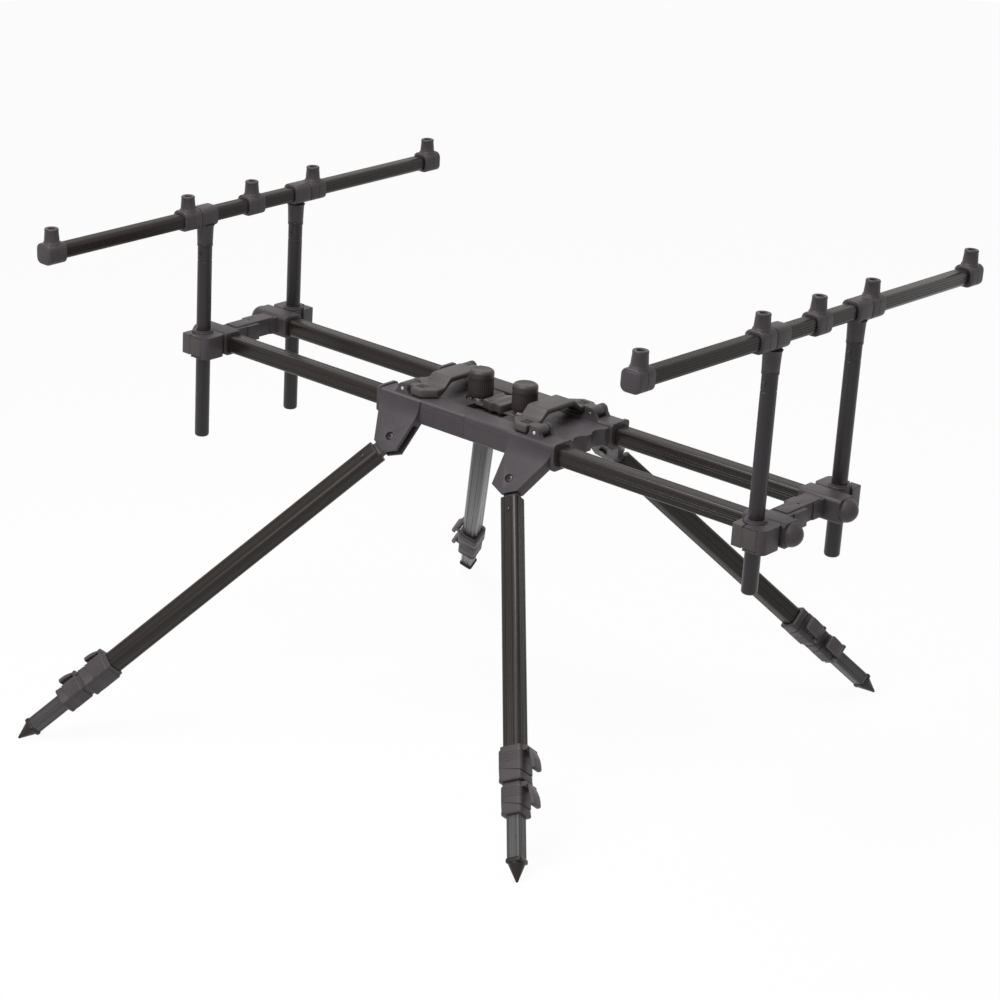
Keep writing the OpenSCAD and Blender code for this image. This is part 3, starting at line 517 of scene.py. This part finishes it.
def make_posts(side):
    form = Form()
    low, r, cut = -POST_LEN, POST_R, POST_R - POST_GROOVE_CUT
    outline = [(CORE, low), (r - 3, low), (r - 1.5, low + 0.4), (r - 0.4, low + 1.5), (r, low + 3),
               (r, POST_GROOVE_LOW), (cut, POST_GROOVE_LOW + 0.3), (cut, POST_GROOVE_TOP - 0.3),
               (r, POST_GROOVE_TOP), (r, -4.0), (r + 0.4, -3.8), (r + 0.7, -3.4), (r + 0.7, -0.5),
               (r + 0.4, 0.0), (CORE, 0.0)]
    button = [(CORE, 0.0), (2.2, 0.0), (2.2, 0.8), (1.8, 1.3), (1.0, 1.6), (CORE, 1.7)]
    for y in (-POST_Y, POST_Y):
        form.loft(turned(outline, 48, (0, y, -TEE_DROP)))
        seat = Matrix.Translation((0, y - r + 0.2, -TEE_DROP - POST_BUTTON_DROP))
        form.loft(moved(turned(button, 20), seat @ Matrix.Rotation(math.pi / 2, 4, "X")))
    build(side + "_post_pair", form, bar_frame(side), side + "_rod_bar", POST_ANODISED,
          (side + "_posts",))


def make_bar(side):
    form = Form()
    profile = fluted_profile(BAR_W, BAR_R, BAR_FLUTES, 8)
    form.loft(along("Y", profile, rounded_ends(-BAR_HALF, BAR_HALF, 0.5)))
    place = bar_frame(side) @ bar_skew(side)
    build(side + "_bar_tube", form, place, side + "_rod_bar", ANODISED, (side + "_bar",), "Y")


def make_leg_tubes(leg):
    upper, lower = clamp_start(leg, "upper"), clamp_start(leg, "lower")
    middle_start = TUBE_START + PLUG_LEN + STOP_GAP
    runs = (("outer", OUTER_W, OUTER_R, TUBE_START, upper + CLAMP_LEN["upper"] * GRIP_SHARE, "_leg"),
            ("middle", MIDDLE_W, MIDDLE_R, middle_start, lower + CLAMP_LEN["lower"] * GRIP_SHARE, "_middle"),
            ("inner", INNER_W, INNER_R, middle_start + INNER_SHOW + INNER_BACK,
             lower + CLAMP_LEN["lower"] + INNER_SHOW, "_inner"))
    for kind, w, r, z0, z1, body in runs:
        form = Form()
        form.loft(along("Z", fluted_profile(w, r, TUBE_FLUTES), rounded_ends(z0, z1, 0.4)))
        finish = INNER_ANODISED if kind == "inner" else ANODISED
        build(f"{leg}_{kind}_leg_tube", form, leg_frame(leg), leg + body, finish,
              (f"{leg}_{kind}_tube",))


def make_tube_screw(leg):
    """Small button-head screw that holds the knuckle's plug in the top of the leg tube."""
    outline = [(CORE, -0.4), (2.4, -0.4), (2.4, 0.3), (2.1, 0.8), (1.5, 1.1), (1.0, 1.15),
               (0.9, 0.5), (CORE, 0.5)]
    seat = Matrix.Translation((0, OUTER_W / 2, TUBE_START + PLUG_LEN * 0.6))
    form = Form().loft(moved(turned(outline, 20), seat @ Matrix.Rotation(-math.pi / 2, 4, "X")))
    build(leg + "_tube_screw", form, leg_frame(leg), leg + "_leg", BLACK_STEEL)


# Rod bar fittings
def thread_wobble(angle, r, z):
    if r > THREAD_R + SLACK or z < SOCKET_RISE - THREAD_DEPTH + 0.6 or z > SOCKET_RISE - 0.8:
        return 0.0
    turn = (z / THREAD_PITCH - angle / (2 * math.pi)) % 1.0
    return THREAD_CUT * (1 - abs(2 * turn - 1))


def make_sockets(side):
    form = Form()
    collar = rounded_profile(BAR_COLLAR_W, BAR_COLLAR_W, BAR_COLLAR_R, 8)
    bottom = SOCKET_RISE - THREAD_DEPTH
    steps = int((THREAD_DEPTH - 1.2) / (THREAD_PITCH / 5))
    wall = [(THREAD_R, SOCKET_RISE - 0.7 - k * THREAD_PITCH / 5) for k in range(steps)]
    turret = [(CORE, 6.0), (9.8, 6.0), (9.8, 11.6), (9.4, 12.4), (8.9, 13.0), (8.6, 14.2), (7.75, 25.2),
              (7.95, 25.6), (7.95, 26.9), (7.6, 27.7), (7.1, 28.0), (5.2, 28.0), (4.7, 27.7)]
    turret += wall + [(THREAD_R, bottom), (CORE, bottom)]
    for y in SOCKET_YS:
        half = SOCKET_LEN / 2
        seam = [(y - 0.45, 0.0), (y - 0.3, 0.35), (y + 0.3, 0.35), (y + 0.45, 0.0)]
        ends = rounded_ends(y - half, y + half, 1.8, 4)
        form.loft(along("Y", collar, ends[:5] + seam + ends[5:]))
        form.loft(turned(turret, 36, (0, y, 0), thread_wobble))
        if abs(y) == max(SOCKET_YS):
            cap = rounded_ends(0.0, 1.4, 0.7)
            outward = 1 if y > 0 else -1
            rings = along("Y", rounded_profile(BAR_COLLAR_W - 5, BAR_COLLAR_W - 5, BAR_COLLAR_R - 2, 8), cap)
            form.loft([[(x, y + outward * (half - 0.9 + t), z) for x, t, z in ring] for ring in rings])
    place = bar_frame(side) @ bar_skew(side)
    build(side + "_rod_sockets", form, place, side + "_rod_bar", MOULDING, (side + "_sockets",))


def make_tees(side):
    form = Form()
    collar = rounded_profile(BAR_COLLAR_W, BAR_COLLAR_W, BAR_COLLAR_R, 8)
    low, r = -TEE_DROP, POST_R
    neck = [(CORE, low), (r + 0.3, low), (r + 0.6, low + 0.4), (r + 1.0, -22.0), (r + 1.35, -14.5),
            (r + 2.4, -12.0), (CORE, -8.0)]
    for y in (-POST_Y, POST_Y):
        rings = along("Y", collar, rounded_ends(y - TEE_LEN / 2, y + TEE_LEN / 2, 1.4, 4))
        form.loft(moved(rings, bar_skew(side)))
        form.loft(turned(neck, 40, (0, y, 0)))
    build(side + "_post_tees", form, bar_frame(side), side + "_rod_bar", MOULDING, (side + "_tees",))


# Knobs, bridge levers and hardware of the body
def knob_ribs(angle, r, z):
    if r < KNOB_R - SLACK or not 1.0 < z < KNOB_H * KNOB_GRIP:
        return 0.0
    return -KNOB_RIB_CUT * (0.5 + 0.5 * math.cos(angle * KNOB_RIBS))


def make_knob(side):
    h, r = KNOB_H, KNOB_R
    outline = [(CORE, 0.0), (r - 2.4, 0.0), (r - 0.8, 0.4), (r, 1.2)]
    outline += [(r, 1.2 + k * (h * 0.69 - 1.2) / 5) for k in range(1, 6)]
    outline += [(r - 0.02, h * 0.71), (r - 0.5, h * 0.715), (r - 0.5, h * 0.73), (r - 0.05, h * 0.735)]
    crown = [math.pi / 2 * k / 8 for k in range(9)]
    c = KNOB_CROWN
    outline += [(r - c - 0.05 + c * math.cos(a), h - c + c * math.sin(a)) for a in crown]
    outline += [(9.4, h - 0.3), (6.0, h - 0.7), (CORE, h - 0.8)]
    form = Form().loft(turned(outline, 216, wobble=knob_ribs))
    place = POD @ Matrix.Translation((SIDES[side] * KNOB_X, 0, KNOB_Z))
    build("tension_knob_" + side, form, place, "knob_" + side, KNOB, ("knob_" + side,))


def bridge_top(a):
    return FOOT_TOP + (BRIDGE_RISE - FOOT_TOP) * smooth((SLOPE_FOOT + 2 - a) / (SLOPE_FOOT + 2 - BRIDGE_FLAT))


def bridge_underside(a):
    reach, rise = FOOT_IN + 1, BRIDGE_RISE - BRIDGE_T - FOOT_BOTTOM
    return FOOT_BOTTOM + rise * smooth((reach - a) / (reach - BRIDGE_FLAT + 3.5))


def make_bridge_lever(side):
    """Cam lever: one ribbon over two feet, each foot hinged between a pair of ears."""
    form = Form()
    ys = [EAR_OUT, EAR_OUT - 0.5, EAR_OUT - 1.6, EAR_OUT - 4, 52, 48, 46, 44, 42]
    ys += [41 - k * 1.5 for k in range(15)] + [18, 12, 6, 0]
    ys = [-y for y in ys] + [y for y in reversed(ys) if y]
    rings = []
    for y in ys:
        a = abs(y)
        pull = {EAR_OUT: 1.6, EAR_OUT - 0.5: 0.7, EAR_OUT - 1.6: 0.1}.get(a, 0.0)
        top, low = bridge_top(a) - pull, bridge_underside(a) + pull
        x0 = CAM_INNER + max(0.0, a - EAR_OUT + FOOT_CUT[1]) * FOOT_CUT[0] / FOOT_CUT[1] + pull
        x1 = CAM_INNER + BRIDGE_LEN - pull
        pts = rounded_profile(x1 - x0, top - low, 2.1, 5)
        rings.append([((x0 + x1) / 2 + x, y, (top + low) / 2 + z) for x, z in pts])
    form.loft(rings)
    for s in (-1, 1):
        y0, y1 = sorted((s * FOOT_IN, s * FOOT_OUT))
        reach = CAM_X - CAM_INNER - FOOT_CUT[0]
        block = rounded_profile(reach, FOOT_TOP - FOOT_BOTTOM, 1.6, 4)
        rings = along("Y", block, rounded_ends(y0, y1, 0.8))
        form.loft(shifted(rings, x=CAM_X - reach / 2, z=(FOOT_TOP + FOOT_BOTTOM) / 2))
        rings = along("Y", circle_profile(CAM_BARREL, 40), rounded_ends(y0, y1, 0.8))
        form.loft(shifted(rings, x=CAM_X))
    place = POD @ Matrix.Diagonal((SIDES[side], 1, 1, 1)) @ Matrix.Translation((0, 0, CAM_Z))
    build("bridge_lever_" + side, form, place, "cam_lever_" + side, LEVER,
          ("cam_lever_" + side,))


def hex_profile(w):
    """Hexagon with small rounded corners, w across its corners."""
    pts = []
    for k in range(6):
        for d in (-7, 0, 7):
            a = math.radians(60 * k + d)
            r = w / 2 * (math.cos(math.radians(30)) / math.cos(math.radians(30 - abs(d))) if d else 0.985)
            pts.append((r * math.cos(a), r * math.sin(a)))
    return pts


def make_pivot_bolts():
    form = Form()
    seat, r = BRACKET_FRONT - BOLT_RECESS, BOLT_HEAD_R
    head = [(CORE, -2.0), (BOLT_R, -2.0), (BOLT_R, 0.0), (r, 0.0), (r, 0.5), (r - 0.3, 0.9), (3.2, 1.3),
            (2.0, 1.55), (1.7, 1.5), (1.5, 0.6), (CORE, 0.6)]
    for leg in LEGS:
        place = POD.inverted() @ bracket_frame(leg)
        forward = Matrix.Rotation(-math.pi / 2, 4, "X")
        form.loft(moved(turned(head, 28), place @ Matrix.Translation((0, seat, 0)) @ forward))
        ends = rounded_ends(-BRACKET_BACK - 2.6, -BRACKET_BACK, 0.5)
        form.loft(moved(along("Y", hex_profile(2 * BOLT_HEAD_R + 2), ends), place))
    build("pivot_bolts", form, POD, "body", BLACK_STEEL, ("steel_hardware",))


def make_nuts_and_pins():
    form = Form()
    for s in (-1, 1):
        nut = along("Z", hex_profile(NUT_W), rounded_ends(NUT_Z, NUT_Z + 4.0, 0.7))
        form.loft(shifted(nut, x=s * KNOB_X))
        washer = [(CORE, 0.0), (10.6, 0.0), (10.9, 0.3), (10.9, 0.9), (10.6, 1.2), (CORE, 1.2)]
        form.loft(turned(washer, 48, (s * KNOB_X, 0, NUT_Z - 0.2)))
        form.loft(turned([(CORE, 0.0), (4.0, 0.0), (4.0, 9.0), (CORE, 9.0)], 32, (s * KNOB_X, 0, NUT_Z - 1)))
        for f in (-1, 1):
            y0, y1 = sorted((f * (EAR_OUT + 0.3), f * (FOOT_IN - 0.4 - EAR_T)))
            pin = along("Y", circle_profile(CAM_PIN, 24), rounded_ends(y0, y1, 0.35))
            form.loft(shifted(pin, x=s * CAM_X, z=CAM_Z))
    build("nuts_and_pins", form, POD, "body", BRIGHT_STEEL, ("steel_hardware",))


def make_body_trim(side):
    """Moulded ridge lines along the rail sleeves."""
    form = Form()
    s = SIDES[side]
    for y in (-RAIL_Y, RAIL_Y):
        out = 1 if y > 0 else -1
        face = out * (abs(y) + SLEEVE_W / 2)
        for z in (7.6, 4.9):
            ridge = along("X", rounded_profile(0.8, 0.9, 0.38, 3), rounded_ends(2.0, HALF_LEN - 4.0, 0.3))
            form.loft([[(s * x, face + u, z + v) for x, u, v in ring] for ring in ridge])
    build(side + "_sleeve_ridges", form, POD, "body", MOULDING)


def make_rail_joint_shade(side):
    """Near-black rings round the rails where they leave the body and enter the end castings: painted shade at
    those joints.
    """
    for name, x, body in (("body", LIP_END, "body"), ("end", POST_REACH - END_IN, side + "_carriage")):
        form = Form()
        for y in (-RAIL_Y, RAIL_Y):
            x0, x1 = (x - 0.6, x + 1.0) if name == "body" else (x - 1.0, x + 0.6)
            profile = rounded_profile(RAIL_W + 3.2, RAIL_W + 3.2, RAIL_R + 1.6, 6)
            rings = along("X", profile, rounded_ends(x0, x1, 0.5))
            form.loft([[(SIDES[side] * t, y + u, v) for t, u, v in ring] for ring in rings])
        build(f"{side}_{name}_rail_joint_shade", form, POD, body, JOINT_SHADE)


def make_link():
    """Link strap under both knobs, with a crest between them whose front and back edges are wavy."""
    form = Form()
    strap = [(s * KNOB_X + KNOB_R * math.cos(a), KNOB_R * math.sin(a)) for s, a0 in ((1, -90), (-1, 90))
             for a in (math.radians(a0 + 10 * k) for k in range(19))]
    form.loft(along("Z", strap, rounded_ends(LINK_Z, LINK_Z + LINK_T, 0.8)))
    rings, steps = [], 36
    for k in range(steps + 1):
        u = 2 * k / steps - 1
        wave = u * CREST_WAVES * math.pi
        deep = CREST_DEEP - 1.6 + CREST_EDGE_WAVE * math.cos(wave + 0.8) - 3.5 * u ** 8
        high = CREST_H - CREST_TOP_WAVE * (1 - math.cos(wave - 0.6)) - 2.0 * u ** 10
        ring = rounded_profile(2 * deep, high, 1.6, 5)
        rings.append([(CREST_HALF * u, y, LINK_Z + high / 2 + z) for y, z in ring])
    form.loft(rings)
    build("link_bridge", form, POD, "body", LEVER, ("link_plate",))


# Post collars and their flag levers
def make_collar_rings(side):
    """Fine turned rings round the post collars and a stepped rim round each post."""
    form = Form()
    r, top = COLLAR_R, COLLAR_TOP
    for y in (-POST_Y, POST_Y):
        for z in (-10.5, -7.0, -3.5, 0.0, 3.5, 7.0, 10.0):
            band = [(CORE, z - 0.5), (r - 0.5, z - 0.5), (r + 0.3, z - 0.25), (r + 0.3, z + 0.25),
                    (r - 0.5, z + 0.5), (CORE, z + 0.5)]
            form.loft(turned(band, 56, (0, y, 0)))
        rim = [(CORE, top - 0.6), (12.2, top - 0.6), (12.2, top + 1.0), (11.8, top + 1.4), (11.2, top + 1.5),
               (CORE, top + 1.5)]
        form.loft(turned(rim, 56, (0, y, 0)))
    place = POD @ Matrix.Translation((SIDES[side] * POST_REACH, 0, 0))
    build(side + "_post_collar_rings", form, place, side + "_carriage", MOULDING)


def make_flag_lever(leg):
    """Flat flag on a round hinge, with a hook behind it that follows the collar."""
    form = Form()
    r, c = FLAG_T / 2, FLAG_CORNER
    hinge = [(FLAG_PIN_X + r * math.cos(a), r * math.sin(a))
             for a in (math.radians(-90 + 15 * k) for k in range(13))]
    tip = []
    for cy, a0 in ((1, 90), (-1, 180)):
        for k in range(6):
            a = math.radians(a0 + 18 * k)
            tip.append((-FLAG_LEN + c + c * math.cos(a), cy * (r - c) + c * math.sin(a)))
    plan = hinge + tip
    form.loft(shifted(along("Z", plan, rounded_ends(FLAG_BOTTOM, FLAG_TOP, 0.8, 4)), y=FLAG_PIN_Y))
    seat = COLLAR_R + 0.8
    hook = [(-seat * math.sin(a), -seat * math.cos(a)) for a in (math.radians(8 + 8 * k) for k in range(9))]
    front, end = FLAG_PIN_Y - r - HOOK_PROUD, -FLAG_LEN - HOOK_PROUD
    hook += [(end, hook[-1][1]), (end, front + 1.6), (end + 0.5, front + 0.5), (end + 1.6, front),
             (hook[0][0], front)]
    form.loft(along("Z", hook, rounded_ends(FLAG_BOTTOM - 0.6, COLLAR_TOP - 0.3, 0.8, 4)))
    build(leg + "_flag_lever", form, collar_frame(leg), leg + "_post_lever", LEVER,
          (leg + "_post_lever",))


# Leg clamps
def clamp_stations(length):
    """Places down a clamp collar as (place, inset, sag): top rim, fine ribs, slit and foot band."""
    out = [(0.0, 2.3, 0), (0.5, 1.7, 0), (4.0, 1.5, 0), (4.4, 0.5, 0), (5.2, 0.05, 0)]
    for k in range(CLAMP_RIBS):
        z = length * 0.2 + k * CLAMP_RIB_PITCH
        out += [(z, 0.0, 0), (z + 0.25, 0.28, 0), (z + 0.75, 0.28, 0), (z + 1.0, 0.0, 0)]
    slit = length * SLIT_SHARE
    out += [(slit, 0.0, 1), (slit + 0.2, 1.1, 1), (slit + 1.2, 1.1, 1), (slit + 1.5, 0.35, 1)]
    out += [(length - 4.5, 0.35, 0.35), (length - 4.0, 0.0, 0.3), (length - 0.9, 0.0, 0.0),
            (length - 0.3, 0.4, 0), (length, 1.2, 0)]
    return out


def make_clamp_collar(leg, which, body):
    """Ribbed collar whose slit fades out inboard, with the ears and pin of its lever."""
    form = Form()
    length, w, start = CLAMP_LEN[which], CLAMP_W[which], clamp_start(leg, which)
    turned_round = leg == "far_right"
    profile = rounded_profile(w, w, CLAMP_R, 6)
    rings = []
    for z, inset, sag in clamp_stations(length):
        ring = []
        pulled = inset_profile(profile, inset)
        for (x, y), (fx, fy) in zip(pulled, profile):
            share = smooth(2 * x / w + 1) if sag == 1 else 1.0
            x, y = fx + (x - fx) * share, fy + (y - fy) * share
            at = z + sag * SLIT_SAG * max(0.0, (x / w) + 0.5) ** 2
            ring.append((x, y, start + (length - at if turned_round else at)))
        rings.append(ring)
    form.loft(rings)
    into = leg_frame(leg).inverted() @ clamp_frame(leg, which)
    b, inner = LEVER_BARREL, LEVER_W / 2 + SLIDE_GAP
    ear = [(b * math.cos(a), b * math.sin(a)) for a in (math.radians(-90 + 20 * k) for k in range(10))]
    ear += [(-PIN_OUT - 1.0, b), (-PIN_OUT - 1.0, -b)]
    for s in (-1, 1):
        y0, y1 = sorted((s * inner, s * (inner + CLAMP_EAR_T)))
        form.loft(moved(along("Y", ear, rounded_ends(y0, y1, 0.4)), into))
    reach = inner + CLAMP_EAR_T + 0.15
    form.loft(moved(along("Y", circle_profile(LEVER_PIN, 16), rounded_ends(-reach, reach, 0.2)), into))
    build(f"{leg}_{which}_clamp_collar", form, leg_frame(leg), leg + body, MOULDING,
          (f"{leg}_{which}_collar",))


def make_clamp_lever(leg, which):
    """Curved thumb blade with grip ribs, on a barrel round its pin."""
    form = Form()
    barrel = along("Y", circle_profile(LEVER_BARREL, 28), rounded_ends(-LEVER_W / 2, LEVER_W / 2, 0.5))
    form.loft(barrel)
    rings, steps = [], 44
    for k in range(steps + 1):
        t = k / steps
        outer = LEVER_BARREL + LEVER_CURL * (1 - (1 - t) ** 3)
        thick = LEVER_T + LEVER_SWELL * smooth(t * 2.2)
        if THUMB_FROM < t < THUMB_TO:
            turn = (t - THUMB_FROM) / (THUMB_TO - THUMB_FROM) * THUMB_RIBS
            outer += THUMB_RIB_H * (0.5 - 0.5 * math.cos(2 * math.pi * turn))
        tip = 1.5 * max(0.0, (t - 0.93) / 0.07) ** 2
        pts = rounded_profile(LEVER_W - 2 * tip, thick - tip, min(1.1, (thick - tip) / 2 - 0.05), 4)
        middle = outer - thick / 2 + 0.6 * smooth(t)
        rings.append([(middle + u, v, LEVER_LEN * t) for v, u in pts])
    form.loft(rings)
    build(f"{leg}_{which}_clamp_lever", form, clamp_frame(leg, which), f"{leg}_{which}_clamp",
          LEVER, (f"{leg}_{which}_lever",))


def make_spike(leg):
    form = Form()
    z = clamp_start(leg, "lower") + CLAMP_LEN["lower"] + INNER_SHOW
    r = INNER_W / 2 + RING_OUT
    plug = rounded_profile(2 * r, 2 * r, 3.0, 5)
    form.loft(along("Z", plug, [(z - 0.3, 1.4), (z + 0.3, 0.5), (z + 1.2, 0.0), (z + RING_H - 1.2, 0.0),
                                (z + RING_H - 0.3, 0.4), (z + RING_H, 1.2)]))
    cone = [(CORE, RING_H - 1), (r - 0.6, RING_H - 1), (r - 0.4, RING_H + 0.5)]
    cone += [(r - 0.5 + (TIP_R - r + 0.5) * k / 6, RING_H + 1 + (SPIKE_LEN - 1) * k / 6) for k in range(7)]
    cone += [(TIP_R * math.cos(a), RING_H + SPIKE_LEN + TIP_R * math.sin(a)) for a in (0.4, 0.8, 1.2)]
    cone += [(CORE, RING_H + SPIKE_LEN + TIP_R)]
    form.loft(turned(cone, 40, (0, 0, z)))
    build(leg + "_ground_spike", form, leg_frame(leg), leg + "_inner", ANODISED, (leg + "_spike",))


for side in SIDES:
    make_rails(side)
    make_posts(side)
    make_bar(side)
    make_sockets(side)
    make_tees(side)
    make_knob(side)
    make_bridge_lever(side)
    make_body_trim(side)
    make_rail_joint_shade(side)
    make_collar_rings(side)
    soften(side + "_body_shell", "body_" + side, POD, "body", MOULDING, 0.8)
    soften(side + "_end_casting", side + "_end_bracket", POD, side + "_carriage", MOULDING, 0.8)
make_link()
make_pivot_bolts()
make_nuts_and_pins()
for leg in LEGS:
    make_leg_tubes(leg)
    make_tube_screw(leg)
    make_flag_lever(leg)
    for which, body in (("upper", "_leg"), ("lower", "_middle")):
        make_clamp_collar(leg, which, body)
        make_clamp_lever(leg, which)
    make_spike(leg)
    soften(leg + "_pivot_knuckle", leg + "_knuckle", leg_frame(leg), leg + "_leg", MOULDING, 0.5)


# Floor, light and camera
FLOOR_HALF, FLOOR_DROP, FLOOR_GLOW, SKY_FILL = 6.0, -0.0005, 0.95, 0.3


def make_floor():
    mesh = bpy.data.meshes.new("studio_floor")
    half, drop = FLOOR_HALF, FLOOR_DROP
    mesh.from_pydata([(-half, -half, drop), (half, -half, drop), (half, half, drop), (-half, half, drop)], [],
                     [(0, 1, 2, 3)])
    floor = bpy.data.objects.new("studio_floor", mesh)
    bpy.context.scene.collection.objects.link(floor)
    mat = bpy.data.materials.new("pale_floor")
    mat.use_nodes = True
    tree = mat.node_tree
    matt = tree.nodes["Principled BSDF"]
    matt.inputs["Base Color"].default_value = (0.86, 0.86, 0.86, 1)
    matt.inputs["Roughness"].default_value = 0.9
    glow = tree.nodes.new("ShaderNodeEmission")
    glow.inputs["Color"].default_value = (1, 1, 1, 1)
    ray = tree.nodes.new("ShaderNodeLightPath")
    seen = sums(tree, "ADD", ray.outputs["Is Camera Ray"], ray.outputs["Is Glossy Ray"], True)
    blend = tree.nodes.new("ShaderNodeMixShader")
    tree.links.new(sums(tree, "MULTIPLY", seen, FLOOR_GLOW), blend.inputs[0])
    tree.links.new(matt.outputs[0], blend.inputs[1])
    tree.links.new(glow.outputs[0], blend.inputs[2])
    tree.links.new(blend.outputs[0], tree.nodes["Material Output"].inputs["Surface"])
    mesh.materials.append(mat)


def make_world():
    world = bpy.data.worlds.new("studio")
    bpy.context.scene.world = world
    world.use_nodes = True
    tree = world.node_tree
    sky = tree.nodes["Background"]
    sky.inputs["Color"].default_value = (1.0, 0.99, 0.985, 1)
    ray = tree.nodes.new("ShaderNodeLightPath")
    seen = sums(tree, "ADD", ray.outputs["Is Camera Ray"], ray.outputs["Is Glossy Ray"], True)
    seen = sums(tree, "ADD", seen, ray.outputs["Is Transmission Ray"], True)
    strength = sums(tree, "ADD", sums(tree, "MULTIPLY", seen, 1 - SKY_FILL), SKY_FILL)
    tree.links.new(strength, sky.inputs["Strength"])


def make_lamp(name, place, target, size, power, colour=(1, 1, 1)):
    lamp = bpy.data.lights.new(name, "AREA")
    lamp.shape = "RECTANGLE"
    lamp.size, lamp.size_y = size
    lamp.energy = power
    lamp.color = colour
    obj = bpy.data.objects.new(name, lamp)
    obj.location = place
    obj.rotation_euler = (Vector(target) - Vector(place)).to_track_quat("-Z", "Y").to_euler()
    bpy.context.scene.collection.objects.link(obj)


CAMERA_AT = (1797.2, -2191.5, 997.7)
CAMERA_YAW, CAMERA_PITCH, CAMERA_ROLL = -39.271, 21.201, 3.445
FOCAL_PX, PHOTO_PX, SENSOR = 2693.9, 1000.0, 36.0


def make_camera():
    yaw, pitch, roll = (math.radians(a) for a in (CAMERA_YAW, CAMERA_PITCH, CAMERA_ROLL))
    ahead = Vector((math.sin(yaw) * math.cos(pitch), math.cos(yaw) * math.cos(pitch), -math.sin(pitch)))
    right = Vector((math.cos(yaw), -math.sin(yaw), 0))
    up = right.cross(ahead)
    r = math.cos(roll) * right + math.sin(roll) * up
    u = -math.sin(roll) * right + math.cos(roll) * up
    turn = POD.to_3x3() @ Matrix((r, u, -ahead)).transposed()
    data = bpy.data.cameras.new("photo_camera")
    data.sensor_fit = "HORIZONTAL"
    data.sensor_width = SENSOR
    data.lens = FOCAL_PX / PHOTO_PX * SENSOR
    data.clip_end = 50
    camera = bpy.data.objects.new("photo_camera", data)
    camera.matrix_world = Matrix.Translation(POD @ Vector(CAMERA_AT) * MM) @ turn.to_4x4()
    bpy.context.scene.collection.objects.link(camera)
    bpy.context.scene.camera = camera


make_floor()
make_world()
make_lamp("overhead_softbox", (-0.1, -0.6, 2.4), (0.1, 0, 0.3), (1.4, 1.0), 38)
make_lamp("front_softbox", (0.1, -2.1, 1.9), (0.1, 0, 0.3), (2.0, 1.6), 27, (1.0, 0.98, 0.97))
make_camera()
bpy.context.scene.view_settings.view_transform = "Standard"
